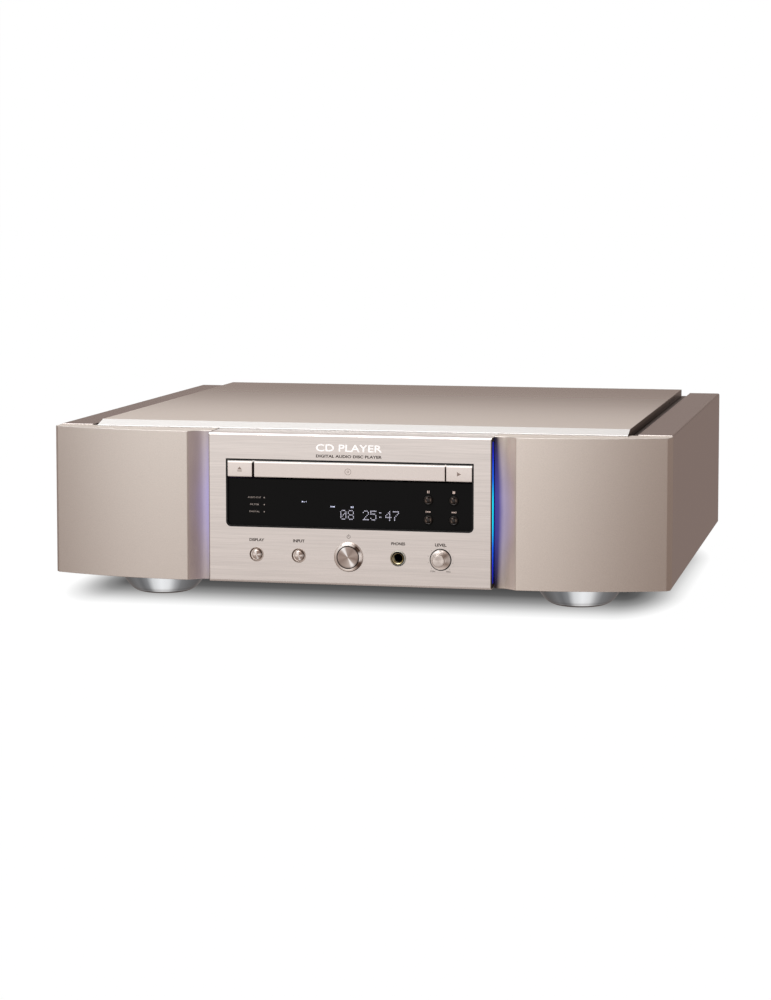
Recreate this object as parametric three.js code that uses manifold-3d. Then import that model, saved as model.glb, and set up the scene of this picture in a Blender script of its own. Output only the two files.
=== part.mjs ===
// A full-size hi-fi disc player, in millimetres.
// Origin: the middle of its box, on the surface that it stands on.
// +X is the player's left-to-right seen from the front, -Y is its front, +Z is up.
import * as THREE from "three";
import { mergeVertices } from "three/addons/utils/BufferGeometryUtils.js";
import Module from "manifold-3d";

// ---------------------------------------------------------------- driving dimensions
const GAP = 0.3; // clearance between pieces that rest on or pass through each other

// Casing
const HALF_WIDTH = 220;
const UNDERSIDE = 18.1; // lowest face of the body, which is also the feet's height
const WALL_TOP = 123; // top of the front
const SIDE_TOP = 123.5; // top of the side panels, a hair above the front
const COVER_TOP = 127;
const PANEL_FRONT = -201; // face of the centre panel
const PANEL_BACK = -193;
const WING_FOLD = -198.3; // foremost line of a wing
const WING_BACK = -166;
const REAR_FACE = 197;
const SIDE_END = 200; // rear end of the side panels
const TERMINAL_END = 209.5; // tips of the rear sockets
const KNOB_FRONT = -209.5; // face of the level knob

// Centre panel
const PANEL_HALF = 100;
const PANEL_LOW = 18.3;
const PANEL_HIGH = 122.7;
const FLANGE_TOP = 122.9; // inner sheets' top edges, just under the cover
const SHEET_END = 194.6; // rear edges of the base and bottom sheets
const WINDOW_HALF = 87;
const WINDOW_LOW = 57.8;
const WINDOW_HIGH = 104.3;
const WINDOW_RADIUS = 3;
const GLASS_TOP = 90.9;
const GLASS_FRONT = -199.2;
const GLASS_BACK = -196.7;
const BAR_LOW = 92;
const BAR_HIGH = 103.5;
const BAR_FRONT = -200.5;
const BAR_BEVEL_RISE = 1.5; // sloping upper edge of the drawer's front and the two buttons beside it
const BAR_BEVEL_RUN = 0.9;
const BUTTON_BACK = -190;
const DOOR_HALF = 67.5;
const EJECT_SPAN = [-86.7, -69];
const PLAY_SPAN = [68.3, 86.4];
const BAR_STEM_Z = 97.7;
const CONTROL_ROW = 38.1; // height of the lower row of controls
const DISPLAY_X = -65.7;
const INPUT_X = -35.5;
const POWER_X = 0;
const PHONES_X = 34.9;
const LEVEL_X = 64.7;
const SMALL_BUTTONS = {
  pause_button: [55.7, 78.9],
  stop_button: [73.5, 78.9],
  previous_button: [55.7, 65.2],
  next_button: [73.5, 65.2],
};
const SMALL_RADIUS = 3.2;
const BOARD_FRONT = -176; // front face of the button board
const SWITCH_FRONT = -178.6; // front faces of the switches on it
const BUTTON_TRAVEL = 1;
const STEM_END = SWITCH_FRONT - BUTTON_TRAVEL - 0.2; // rear ends of the buttons' stems
const POWER_RADIUS = 7.5;
const POWER_HOLE = 9.1;
const JACK_HOLE = 4.7;
const KNOB_HOLE = 7.5;
const SPINDLE_FRONT = -198; // the level control's spindle
const SPINDLE_RADIUS = 2.7;

// Wings and light guides
const WING_INNER = 100.4;
const FOLD_X = 117;
const WING_RADIUS = 293; // of the convex front, seen from above
const SCOOP_BACK = -191.5;
const GUIDE_THICK = 1.2; // each light guide is let into one side of the centre panel
const GUIDE_FRONT = -198.9;
const GUIDE_LOW = 22;
const GUIDE_HIGH = 119.7;

// Top cover
const COVER_HALF = 190;
const COVER_UNDER = 123.3;
const COVER_FRONT = -174.4;
const COVER_BEVEL = 12.8; // run of the sloping front edge
const COVER_REAR = 190;
const LIP_DEPTH = 2;
const LIP_THICK = 6;

// Feet
const FOOT_X = 152;
const FOOT_FRONT_Y = -137;
const FOOT_REAR_Y = 150;
const FOOT_RADIUS = 31.5;
const FOOT_BASE_RADIUS = 16.5;
const FOOT_LIFT = 0.5; // the metal stops this far above what the pad stands on
const PAD_RADIUS = 11;
const PAD_THICK = 2.1;

// Disc drawer and its mechanism
const DISC_Y = -118; // centre of the closed drawer's disc, and of the spindle
const TRAY_HALF = 65;
const TRAY_LOW = 94.5;
const TRAY_HIGH = 101;
const RACK_LOW = 91.9;
const TRAY_FRONT = -195;
const TRAY_REAR = -14;
const DISC_RADIUS = 60;
const SMALL_DISC_RADIUS = 40;
const DISC_FLOOR = 97.2;
const SLOT_HALF = 19;
const MODULE = 1; // gear tooth size
const PINION_TEETH = 24;
const PINION_X = -72;
const PINION_Y = -156;
const BELT_Z = 82;
const PULLEY_HALF = 3; // half the width of each belt pulley
const GROOVE_HALF = 1.2;
const GROOVE_DEPTH = 1.6;
const MOTOR_GROOVE_DEPTH = 1.4;
const BELT_THICK = 1.1;
const GEAR_SPINDLE = 2; // radius of the drawer gear's spindle
const PULLEY_RADIUS = 14;
const MOTOR_PULLEY_RADIUS = 4;
const LOADER_MOTOR_Y = -112;
const LOADING_MOTOR_TOP = 76.5;
const LOADER_LOW = 73;
const LOADER_THICK = 3;
const LOADER_FRONT = -162;
const LOADER_REAR = -8;
const LOADER_TOP = 104;
const TRAVERSE_Z = 80;
const TRAVERSE_THICK = 2;
const TRAVERSE_PIVOT_Y = -36;
const CLAMP_PIVOT_Y = -40;
const CLAMP_PIVOT_Z = 107.5;
const PIVOT_RADIUS = 2.4;
const CLAMP_HEAD = 14; // radius of the clamp arm's round end
const RAIL_X = 22;
const RAIL_Z = 85;
const RAIL_END = -36.7;
const RAIL_BORE = 1.8;
const SLED_MOTOR_REAR = -108.7;
const HUB_RADIUS = 16; // of the turntable and of the clamp puck on it

// Inside
const FLOOR = 24; // top of the chassis floor
const BOARD_Z = 32;
const BOARD_THICK = 1.6;

// ---------------------------------------------------------------- finishes
const finish = (color, roughness, metalness) => ({ color, roughness, metalness });
const FINISHES = {
  blastedGold: finish(0xb9a99e, 0.45, 0.9),
  brushedGold: finish(0xd2cac4, 0.35, 0.9),
  satinSilver: finish(0xc4c6c8, 0.35, 0.9),
  polished: finish(0xd8d0ca, 0.15, 1),
  steel: finish(0x9a9da0, 0.45, 0.8),
  copper: finish(0xb8724a, 0.35, 0.9),
  brass: finish(0xc9a653, 0.25, 1),
  blackGloss: finish(0x101010, 0.08, 0),
  blackPlastic: finish(0x1a1a1a, 0.5, 0),
  greyPlastic: finish(0x55575a, 0.5, 0),
  whitePlastic: finish(0xd8d8d4, 0.45, 0),
  rubber: finish(0x161616, 0.9, 0),
  board: finish(0x14502c, 0.5, 0),
  lightGuide: finish(0x2a5cff, 0.2, 0),
};

// ---------------------------------------------------------------- shapes
const wasm = await Module();
wasm.setup();

// A closed geometry as a solid with its faces pointing out.
function solidOf(geometry) {
  const bare = geometry.index ? geometry.toNonIndexed() : geometry.clone();
  for (const name of Object.keys(bare.attributes)) {
    if (name !== "position") bare.deleteAttribute(name);
  }
  const merged = mergeVertices(bare, 1e-4);
  const corners = merged.index.array;
  const triangles = [];
  for (let i = 0; i < corners.length; i += 3) {
    const [a, b, c] = corners.slice(i, i + 3);
    if (a !== b && b !== c && c !== a) triangles.push(a, b, c);
  }
  const make = (list) =>
    new wasm.Manifold(
      new wasm.Mesh({
        numProp: 3,
        vertProperties: merged.attributes.position.array,
        triVerts: new Uint32Array(list),
      }),
    );
  const solid = make(triangles);
  return solid.volume() > 0 ? solid : make(triangles.reverse());
}

function geometryOf(solid) {
  const { vertProperties, triVerts } = solid.getMesh();
  const geometry = new THREE.BufferGeometry();
  geometry.setAttribute("position", new THREE.Float32BufferAttribute(vertProperties, 3));
  geometry.setIndex(Array.from(triVerts));
  geometry.computeVertexNormals();
  return geometry;
}

const join = (first, ...rest) => rest.reduce((sum, part) => sum.add(part), first);
const cut = (first, ...rest) => rest.reduce((left, part) => left.subtract(part), first);

function box(x0, x1, y0, y1, z0, z1) {
  const block = new THREE.BoxGeometry(x1 - x0, y1 - y0, z1 - z0);
  block.translate((x0 + x1) / 2, (y0 + y1) / 2, (z0 + z1) / 2);
  return solidOf(block);
}

// Outlines are lists of [across, up] pairs, or a THREE.Shape.
function shapeOf(outline) {
  if (outline instanceof THREE.Shape) return outline;
  return new THREE.Shape(outline.map(([u, v]) => new THREE.Vector2(u, v)));
}

const extruded = (outline, depth, segments = 8) =>
  new THREE.ExtrudeGeometry(shapeOf(outline), { depth, bevelEnabled: false, curveSegments: segments });

// An outline in X and Y, standing from z0 to z1.
function slab(outline, z0, z1, segments) {
  return solidOf(extruded(outline, z1 - z0, segments).translate(0, 0, z0));
}

// An outline in X and Z, running from y0 back to y1.
function plate(outline, y0, y1, segments) {
  return solidOf(extruded(outline, y1 - y0, segments).rotateX(Math.PI / 2).translate(0, y1, 0));
}

// An outline in Y and Z, running from x0 across to x1.
function bar(outline, x0, x1, segments) {
  const geometry = extruded(outline, x1 - x0, segments);
  const turn = new THREE.Matrix4().makeBasis(
    new THREE.Vector3(0, 1, 0),
    new THREE.Vector3(0, 0, 1),
    new THREE.Vector3(1, 0, 0),
  );
  return solidOf(geometry.applyMatrix4(turn).translate(x0, 0, 0));
}

// Round pieces along each axis.
function post(x, y, z0, z1, radius, segments = 16) {
  const round = new THREE.CylinderGeometry(radius, radius, z1 - z0, segments);
  return solidOf(round.rotateX(Math.PI / 2).translate(x, y, (z0 + z1) / 2));
}

function drum(x, z, y0, y1, radius, segments = 16) {
  const round = new THREE.CylinderGeometry(radius, radius, y1 - y0, segments);
  return solidOf(round.translate(x, (y0 + y1) / 2, z));
}

function rod(y, z, x0, x1, radius, segments = 12) {
  const round = new THREE.CylinderGeometry(radius, radius, x1 - x0, segments);
  return solidOf(round.rotateZ(Math.PI / 2).translate((x0 + x1) / 2, y, z));
}

// A turned piece: [radius, position] pairs along its axis, which is Y, or Z where upright.
const lathe = (profile, segments) =>
  new THREE.LatheGeometry(profile.map(([r, h]) => new THREE.Vector2(r, h)), segments);
const turned = (x, z, profile, segments = 20) => solidOf(lathe(profile, segments).translate(x, 0, z));
const turnedUpright = (x, y, profile, segments = 20) =>
  solidOf(lathe(profile, segments).rotateX(Math.PI / 2).translate(x, y, 0));

// A rectangle with one radius at its two lower corners, and another or the same at its upper ones.
function roundedRectangle(x0, x1, y0, y1, low, high = low) {
  const shape = new THREE.Shape();
  const quarter = Math.PI / 2;
  shape.absarc(x1 - high, y1 - high, high, 0, quarter);
  shape.absarc(x0 + high, y1 - high, high, quarter, 2 * quarter);
  shape.absarc(x0 + low, y0 + low, low, 2 * quarter, 3 * quarter);
  shape.absarc(x1 - low, y0 + low, low, 3 * quarter, 4 * quarter);
  shape.closePath();
  return shape;
}

const arcPoints = (x, y, radius, from, to, steps) =>
  Array.from({ length: steps + 1 }, (_, i) => {
    const angle = from + ((to - from) * i) / steps;
    return [x + radius * Math.cos(angle), y + radius * Math.sin(angle)];
  });

const mirrored = (outline) => outline.map(([u, v]) => [-u, v]).reverse();

// ---------------------------------------------------------------- the player
const player = new THREE.Group();
player.name = "disc_player";

function piece(name, solid, finishName) {
  const mesh = new THREE.Mesh(geometryOf(solid), new THREE.MeshStandardMaterial(FINISHES[finishName]));
  mesh.name = name;
  player.add(mesh);
}

// Casing: a bevelled top plate whose lips stand on the side panels' ledges.
function topCover() {
  const section = [
    [COVER_FRONT, COVER_UNDER],
    [COVER_REAR, COVER_UNDER],
    [COVER_REAR, COVER_TOP],
    [COVER_FRONT + COVER_BEVEL, COVER_TOP],
    [COVER_FRONT, COVER_UNDER + 0.5],
  ];
  const lipBottom = COVER_UNDER - LIP_DEPTH;
  const lipFront = -160;
  const inner = COVER_HALF - LIP_THICK;
  return join(
    bar(section, -COVER_HALF, COVER_HALF),
    box(-COVER_HALF, -inner, lipFront, COVER_REAR, lipBottom, COVER_UNDER + 0.1),
    box(inner, COVER_HALF, lipFront, COVER_REAR, lipBottom, COVER_UNDER + 0.1),
  );
}

// Side panel: one extrusion with a top flange and a ledge for the cover.
function sidePanel(side) {
  const ledge = COVER_UNDER - LIP_DEPTH - GAP;
  const ledgeThick = 4;
  const ledgeInner = 188;
  const flangeInner = 195.75;
  const wall = 213.5;
  const chamfer = 0.8;
  const section = [
    [wall, UNDERSIDE],
    [HALF_WIDTH, UNDERSIDE],
    [HALF_WIDTH, SIDE_TOP - chamfer],
    [HALF_WIDTH - chamfer, SIDE_TOP],
    [flangeInner, SIDE_TOP],
    [flangeInner, ledge],
    [ledgeInner, ledge],
    [ledgeInner, ledge - ledgeThick],
    [wall, ledge - ledgeThick],
  ];
  return plate(side > 0 ? section : mirrored(section), WING_BACK + GAP, SIDE_END);
}

// Wing: a thick curved front that scoops in behind the centre panel.
function wing(side) {
  const centreY = WING_FOLD + WING_RADIUS;
  const outerAngle = -Math.acos((217.7 - FOLD_X) / WING_RADIUS);
  const sweep = arcPoints(FOLD_X, centreY, WING_RADIUS, outerAngle, -Math.PI / 2, 14);
  const scoop = new THREE.CubicBezierCurve(
    new THREE.Vector2(FOLD_X, WING_FOLD),
    new THREE.Vector2(FOLD_X - 2.2, WING_FOLD + 0.2),
    new THREE.Vector2(FOLD_X - 5.5, SCOOP_BACK - 0.2),
    new THREE.Vector2(FOLD_X - 12, SCOOP_BACK),
  );
  const outline = [
    [WING_INNER, WING_BACK],
    [HALF_WIDTH, WING_BACK],
    [HALF_WIDTH, -177],
    [218.6, -179.1],
    ...sweep,
    ...scoop.getPoints(10).slice(1).map((p) => [p.x, p.y]),
    [WING_INNER, SCOOP_BACK],
  ];
  return slab(side > 0 ? outline : mirrored(outline), UNDERSIDE, WALL_TOP);
}

// Centre panel: rounded along its top, chamfered along its bottom, with the window and five holes.
// A flange runs back from its top, level with the wings.
function centrePanel() {
  const round = 1.7;
  const chamfer = 1.3;
  const flange = 3;
  const section = [
    [PANEL_BACK, PANEL_LOW],
    [PANEL_BACK, PANEL_HIGH - flange],
    [WING_BACK, PANEL_HIGH - flange],
    [WING_BACK, PANEL_HIGH],
    ...arcPoints(PANEL_FRONT + round, PANEL_HIGH - round, round, Math.PI / 2, Math.PI, 5),
    [PANEL_FRONT, PANEL_LOW + chamfer],
    [PANEL_FRONT + chamfer, PANEL_LOW],
  ];
  const edge = 0.6;
  const plan = [
    [-PANEL_HALF, WING_BACK],
    [PANEL_HALF, WING_BACK],
    [PANEL_HALF, PANEL_FRONT + edge],
    [PANEL_HALF - edge, PANEL_FRONT],
    [edge - PANEL_HALF, PANEL_FRONT],
    [-PANEL_HALF, PANEL_FRONT + edge],
  ];
  const blank = bar(section, -PANEL_HALF, PANEL_HALF).intersect(slab(plan, 0, COVER_TOP));
  const pocketFloor = PANEL_HALF - GUIDE_THICK - GAP;
  const pockets = [[-PANEL_HALF - 1, -pocketFloor], [pocketFloor, PANEL_HALF + 1]].map(([x0, x1]) =>
    box(x0, x1, GUIDE_FRONT - GAP, PANEL_BACK + 1, GUIDE_LOW - GAP, GUIDE_HIGH + GAP),
  );
  const upperRadius = 0.5;
  const opening = roundedRectangle(
    -WINDOW_HALF, WINDOW_HALF, WINDOW_LOW, WINDOW_HIGH, WINDOW_RADIUS, upperRadius,
  );
  const before = PANEL_FRONT - 1;
  const behind = PANEL_BACK + 1;
  const bore = 3.9;
  const slope = [[0, before], [5.7, before], [bore, PANEL_FRONT + 0.8], [bore, behind], [0, behind]];
  return cut(
    blank,
    ...pockets,
    plate(opening, before, behind, 6),
    turned(DISPLAY_X, CONTROL_ROW, slope),
    turned(INPUT_X, CONTROL_ROW, slope),
    drum(POWER_X, CONTROL_ROW, before, behind, POWER_HOLE, 24),
    drum(PHONES_X, CONTROL_ROW, before, behind, JACK_HOLE, 24),
    drum(LEVEL_X, CONTROL_ROW, before, behind, KNOB_HOLE, 32),
  );
}

// The steel sheet behind the front, with openings for the drawer, the jack and pot, and the wiring.
function frontSubpanel() {
  const half = 212.5;
  const neck = 183;
  const shoulder = 114.2;
  const outline = [
    [-half, FLOOR],
    [half, FLOOR],
    [half, shoulder],
    [neck, shoulder],
    [neck, FLANGE_TOP],
    [-neck, FLANGE_TOP],
    [-neck, shoulder],
    [-half, shoulder],
  ];
  const front = WING_BACK + 2 * GAP;
  const [before, behind] = [front - 5, front + 5];
  return cut(
    plate(outline, front, front + 2),
    box(-95, 74, before, behind, 77, 110),
    box(74, 90, before, behind, 30, 55),
    drum(0, 60, before, behind, 8),
  );
}

// The copper base: a floor with two low walls.
function baseChassis() {
  const wall = 211;
  const thick = 2;
  const low = 21.7;
  const high = 112;
  const outline = [
    [-wall, low],
    [wall, low],
    [wall, high],
    [wall - thick, high],
    [wall - thick, FLOOR - GAP],
    [thick - wall, FLOOR - GAP],
    [thick - wall, high],
    [-wall, high],
  ];
  return plate(outline, -163.1, SHEET_END);
}

// The bottom sheet: a tongue runs under the centre panel, and two rows of slots let air in.
function bottomPlate() {
  const half = 213.2;
  const tongue = 99.5;
  const low = UNDERSIDE + GAP;
  const high = 21.4;
  const outline = [
    [-half, WING_BACK + GAP],
    [-tongue, WING_BACK + GAP],
    [-tongue, PANEL_BACK + GAP],
    [tongue, PANEL_BACK + GAP],
    [tongue, WING_BACK + GAP],
    [half, WING_BACK + GAP],
    [half, SHEET_END],
    [-half, SHEET_END],
  ];
  const slots = [];
  const slot = { count: 7, first: 10, step: 12, width: 3, halfLength: 22, middle: 60 };
  for (const side of [-1, 1]) {
    const centre = side * slot.middle;
    for (let i = 0; i < slot.count; i += 1) {
      const y = slot.first + i * slot.step;
      const [x0, x1] = [centre - slot.halfLength, centre + slot.halfLength];
      slots.push(box(x0, x1, y, y + slot.width, low - 1, high + 1));
    }
  }
  return cut(slab(outline, low, high), ...slots);
}

// Rear sockets, each given once for its hole in the rear panel and for itself.
const PHONO = { radius: 4.2, shoulder: 1, z: 78, xs: [112, 150] };
const BALANCED = { radius: 10.6, z: 46, xs: [112, 150] };
const DIGITAL = { halfWidth: 7, halfHeight: 6, z: 78, xs: [-30, -8, 14, 36] };
const INLET = { x: -165, z: 52, halfWidth: 13, halfHeight: 9, wall: 1.6 };

function rearPanel() {
  const half = 213;
  const neck = 187.5;
  const shoulder = 114;
  const outline = [
    [-half, PANEL_LOW],
    [half, PANEL_LOW],
    [half, shoulder],
    [neck, shoulder],
    [neck, FLANGE_TOP],
    [-neck, FLANGE_TOP],
    [-neck, shoulder],
    [-half, shoulder],
  ];
  const from = REAR_FACE - 5;
  const to = REAR_FACE + 1;
  const { x, z, halfWidth, halfHeight } = INLET;
  const across = DIGITAL.halfWidth + GAP;
  const up = DIGITAL.halfHeight + GAP;
  const inletEdge = INLET.wall + 0.4;
  return cut(
    join(
      plate(outline, REAR_FACE - 2, REAR_FACE),
      box(-183, 183, 180, REAR_FACE - 1, FLANGE_TOP - 1.5, FLANGE_TOP),
    ),
    ...PHONO.xs.map((px) => drum(px, PHONO.z, from, to, PHONO.radius + PHONO.shoulder + 2 * GAP)),
    ...BALANCED.xs.map((px) => drum(px, BALANCED.z, from, to, BALANCED.radius + 2 * GAP, 16)),
    ...DIGITAL.xs.map((px) => box(px - across, px + across, from, to, DIGITAL.z - up, DIGITAL.z + up)),
    box(
      x - halfWidth - inletEdge, x + halfWidth + inletEdge, from, to,
      z - halfHeight - inletEdge, z + halfHeight + inletEdge,
    ),
  );
}

// Foot: a turned bowl with a pad let into its underside.
function foot(x, y) {
  const recess = PAD_THICK + GAP;
  return turnedUpright(x, y, [
    [0, recess],
    [PAD_RADIUS + GAP, recess],
    [PAD_RADIUS + GAP, FOOT_LIFT],
    [FOOT_BASE_RADIUS, FOOT_LIFT],
    [20.6, 1.8],
    [23.7, 4],
    [26.7, 7.5],
    [29.3, 11.3],
    [FOOT_RADIUS, 14.8],
    [FOOT_RADIUS, UNDERSIDE],
    [0, UNDERSIDE],
  ], 16);
}

const footPad = (x, y) => post(x, y, 0, PAD_THICK, PAD_RADIUS, 16);

function lightGuide(side) {
  const inner = PANEL_HALF - GUIDE_THICK;
  const [x0, x1] = side > 0 ? [inner, PANEL_HALF] : [-PANEL_HALF, -inner];
  return box(x0, x1, GUIDE_FRONT, PANEL_BACK, GUIDE_LOW, GUIDE_HIGH);
}

// ---------------------------------------------------------------- front controls
function displayWindow() {
  const inset = WINDOW_HALF - GAP;
  const low = WINDOW_LOW + GAP;
  const outline = roundedRectangle(-inset, inset, low, GLASS_TOP + WINDOW_RADIUS, WINDOW_RADIUS - GAP);
  const [before, behind] = [GLASS_FRONT - 1, GLASS_BACK + 1];
  const holes = Object.values(SMALL_BUTTONS).map(([x, z]) =>
    drum(x, z, before, behind, SMALL_RADIUS + 0.25, 16),
  );
  const above = box(-WINDOW_HALF, WINDOW_HALF, before, behind, GLASS_TOP, GLASS_TOP + WINDOW_RADIUS);
  return cut(plate(outline, GLASS_FRONT, GLASS_BACK, 5), above, ...holes);
}

// Display: a glass tube in a shallow housing, with its pins' connector behind.
function displayModule() {
  return join(
    box(-84, 46, GLASS_BACK + GAP, -188, 59.5, 90),
    box(-80, 42, -189, -182, 62, 88),
    box(-20, 20, -183, BOARD_FRONT - GAP, 66, 72),
  );
}

// Button board: one board that goes round the drawer's slot, with a switch behind each button.
function buttonBoard() {
  const half = 98;
  const high = 105;
  const slotHalf = 70;
  const slotLow = 86;
  const outline = [
    [-half, 22.6],
    [half, 22.6],
    [half, high],
    [slotHalf, high],
    [slotHalf, slotLow],
    [-slotHalf, slotLow],
    [-slotHalf, high],
    [-half, high],
  ];
  const places = [
    [middleOf(EJECT_SPAN), BAR_STEM_Z],
    [middleOf(PLAY_SPAN), BAR_STEM_Z],
    [DISPLAY_X, CONTROL_ROW],
    [INPUT_X, CONTROL_ROW],
    [POWER_X, CONTROL_ROW],
    ...Object.values(SMALL_BUTTONS),
  ];
  const switches = places.map(([x, z]) =>
    box(x - 3, x + 3, SWITCH_FRONT, BOARD_FRONT + 0.1, z - 3, z + 3),
  );
  const body = join(plate(outline, BOARD_FRONT, BOARD_FRONT + BOARD_THICK), ...switches);
  const [before, behind] = [BOARD_FRONT - 4, BOARD_FRONT + 6];
  const jackHole = box(PHONES_X - 6.5, PHONES_X + 6.5, before, behind, 30, 46);
  const potHole = box(LEVEL_X - 9, LEVEL_X + 9, before, behind, 29, 47);
  const pulleyNotch = box(-72, -60, before, behind, 72, 88);
  return cut(body, jackHole, potHole, pulleyNotch);
}

const middleOf = ([low, high]) => (low + high) / 2;

// Section of the bars across the top of the window.
const barSection = (back) => [
  [BAR_FRONT + BAR_BEVEL_RUN / 2, BAR_LOW],
  [back, BAR_LOW],
  [back, BAR_HIGH],
  [BAR_FRONT + BAR_BEVEL_RUN, BAR_HIGH],
  [BAR_FRONT, BAR_HIGH - BAR_BEVEL_RISE],
  [BAR_FRONT, BAR_LOW + BAR_BEVEL_RUN / 2],
];

// A wide bar-shaped button with a stem that ends just in front of its switch.
function barButton(span) {
  const middle = middleOf(span);
  return join(
    bar(barSection(BUTTON_BACK), ...span),
    box(middle - 2, middle + 2, BUTTON_BACK - 1, STEM_END, BAR_STEM_Z - 2, BAR_STEM_Z + 2),
  );
}

// A turned button with a domed face. Its head stands `proud` of the surface it comes through.
function roundButton(x, z, radius, surface, proud, dome) {
  const face = surface - proud;
  const shoulder = surface + 6;
  const stem = 1.8;
  return turned(x, z, [
    [0, face - dome],
    [radius * 0.45, face - dome * 0.8],
    [radius * 0.8, face - dome * 0.35],
    [radius, face + 0.15],
    [radius, shoulder],
    [stem, shoulder],
    [stem, STEM_END],
    [0, STEM_END],
  ], 12);
}

// Power button: a flat spun face inside a conical bezel.
function powerBezel() {
  const seat = PANEL_FRONT - 0.1;
  const bore = POWER_RADIUS + 0.5;
  const rim = 10.3;
  return turned(POWER_X, CONTROL_ROW, [
    [bore, PANEL_BACK],
    [POWER_HOLE - GAP, PANEL_BACK],
    [POWER_HOLE - GAP, seat],
    [rim, seat],
    [rim, seat - 0.5],
    [bore + 0.9, seat - 2.7],
    [bore + 0.4, seat - 3],
    [bore, seat - 2.7],
    [bore, PANEL_BACK],
  ], 20);
}

function powerButton() {
  const face = PANEL_FRONT - 2.9;
  const chamfer = 0.4;
  const shoulder = PANEL_BACK + 1;
  const stem = 2.5;
  return turned(POWER_X, CONTROL_ROW, [
    [0, face],
    [POWER_RADIUS - chamfer, face],
    [POWER_RADIUS, face + chamfer],
    [POWER_RADIUS, shoulder],
    [stem, shoulder],
    [stem, STEM_END],
    [0, STEM_END],
  ], 20);
}

// Headphone jack: a gold bush through the panel, on a square body.
function phonesJack() {
  const bore = 3.25;
  const bodyFront = -191;
  const bushEnd = bodyFront + 0.5;
  const seat = PANEL_FRONT - 0.1;
  const face = PANEL_FRONT - 0.9;
  const bush = turned(PHONES_X, CONTROL_ROW, [
    [bore, bushEnd],
    [JACK_HOLE - GAP, bushEnd],
    [JACK_HOLE - GAP, seat],
    [5.4, seat],
    [5.4, seat - 0.4],
    [4.9, face],
    [3.9, face],
    [bore, PANEL_FRONT + 0.4],
    [bore, bushEnd],
  ]);
  const body = box(PHONES_X - 6, PHONES_X + 6, bodyFront, -167, 31, 45.5);
  return join(cut(body, drum(PHONES_X, CONTROL_ROW, bodyFront - 1, -171, bore, 20)), bush);
}

// Level knob: a short drum that flares out to a thin flange, bored for its spindle.
function levelKnob() {
  const back = PANEL_BACK - 1.5;
  const profile = [
    [0, KNOB_FRONT],
    [3.8, KNOB_FRONT],
    [4.2, KNOB_FRONT + 0.4],
    [4.3, KNOB_FRONT + 4.3],
    [4.7, KNOB_FRONT + 5.6],
    [5.6, KNOB_FRONT + 6.9],
    [6.6, KNOB_FRONT + 7.6],
    [6.9, KNOB_FRONT + 8],
    [6.9, back],
    [0, back],
  ];
  return cut(
    turned(LEVEL_X, CONTROL_ROW, profile, 18),
    drum(LEVEL_X, CONTROL_ROW, SPINDLE_FRONT - 1, back + 1, SPINDLE_RADIUS + GAP, 16),
  );
}

function levelPot() {
  const collar = -189;
  return join(
    drum(LEVEL_X, CONTROL_ROW, SPINDLE_FRONT, collar + 1, SPINDLE_RADIUS, 14),
    drum(LEVEL_X, CONTROL_ROW, collar, collar + 3, 5, 16),
    box(LEVEL_X - 8, LEVEL_X + 8, collar + 2.5, -170, CONTROL_ROW - 8, CONTROL_ROW + 8),
  );
}

// ---------------------------------------------------------------- drawer and mechanism
const pitch = Math.PI * MODULE;

// Straight-flanked teeth, a little thin so that they never bind.
function gearOutline(teeth) {
  const radius = (MODULE * teeth) / 2;
  const steps = [
    [-0.31, -1.15],
    [-0.2, 0],
    [-0.09, 0.85],
    [0.09, 0.85],
    [0.2, 0],
    [0.31, -1.15],
  ];
  const points = [];
  for (let tooth = 0; tooth < teeth; tooth += 1) {
    for (const [share, height] of steps) {
      const angle = ((tooth + share) * 2 * Math.PI) / teeth;
      const r = radius + height * MODULE;
      points.push([r * Math.cos(angle), r * Math.sin(angle)]);
    }
  }
  return points;
}

// The rack's pitch line is at pitchX and its teeth point to -X.
function rackOutline(pitchX, y0, y1, phaseY) {
  const points = [[pitchX + 5, y1], [pitchX + 5, y0], [pitchX + 1.15, y0]];
  const first = Math.ceil((y0 - phaseY) / pitch + 0.5);
  const last = Math.floor((y1 - phaseY) / pitch - 0.5);
  for (let tooth = first; tooth <= last; tooth += 1) {
    const y = phaseY + tooth * pitch;
    points.push([pitchX + 1.15, y - 0.34 * pitch], [pitchX - 0.85, y - 0.11 * pitch]);
    points.push([pitchX - 0.85, y + 0.11 * pitch], [pitchX + 1.15, y + 0.34 * pitch]);
  }
  points.push([pitchX + 1.15, y1]);
  return points.reverse();
}

const pinionRadius = (MODULE * PINION_TEETH) / 2;

// Drawer: a tray with two stepped disc recesses, a slot for the spindle, and a rack along one side.
function discTray() {
  const outline = roundedRectangle(-TRAY_HALF, TRAY_HALF, TRAY_FRONT, TRAY_REAR, 2);
  const open = TRAY_REAR + 1;
  const [under, over] = [TRAY_LOW - 4, TRAY_HIGH + 4];
  const slotEnd = arcPoints(0, DISC_Y - 1, SLOT_HALF, Math.PI, 2 * Math.PI, 10);
  const slot = slab([[-SLOT_HALF, open], ...slotEnd, [SLOT_HALF, open]], under, over);
  const teeth = rackOutline(PINION_X + pinionRadius, PINION_Y - 16, TRAY_REAR, PINION_Y + pitch / 2);
  return join(
    cut(
      slab(outline, TRAY_LOW, TRAY_HIGH, 3),
      post(0, DISC_Y, DISC_FLOOR, over, DISC_RADIUS + 1, 40),
      post(0, DISC_Y, DISC_FLOOR - 1, DISC_FLOOR + 1, SMALL_DISC_RADIUS + 0.7, 28),
      slot,
    ),
    slab(teeth, RACK_LOW, TRAY_LOW + 0.1),
  );
}

const trayDoor = () => bar(barSection(TRAY_FRONT - GAP), -DOOR_HALF, DOOR_HALF);

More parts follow.
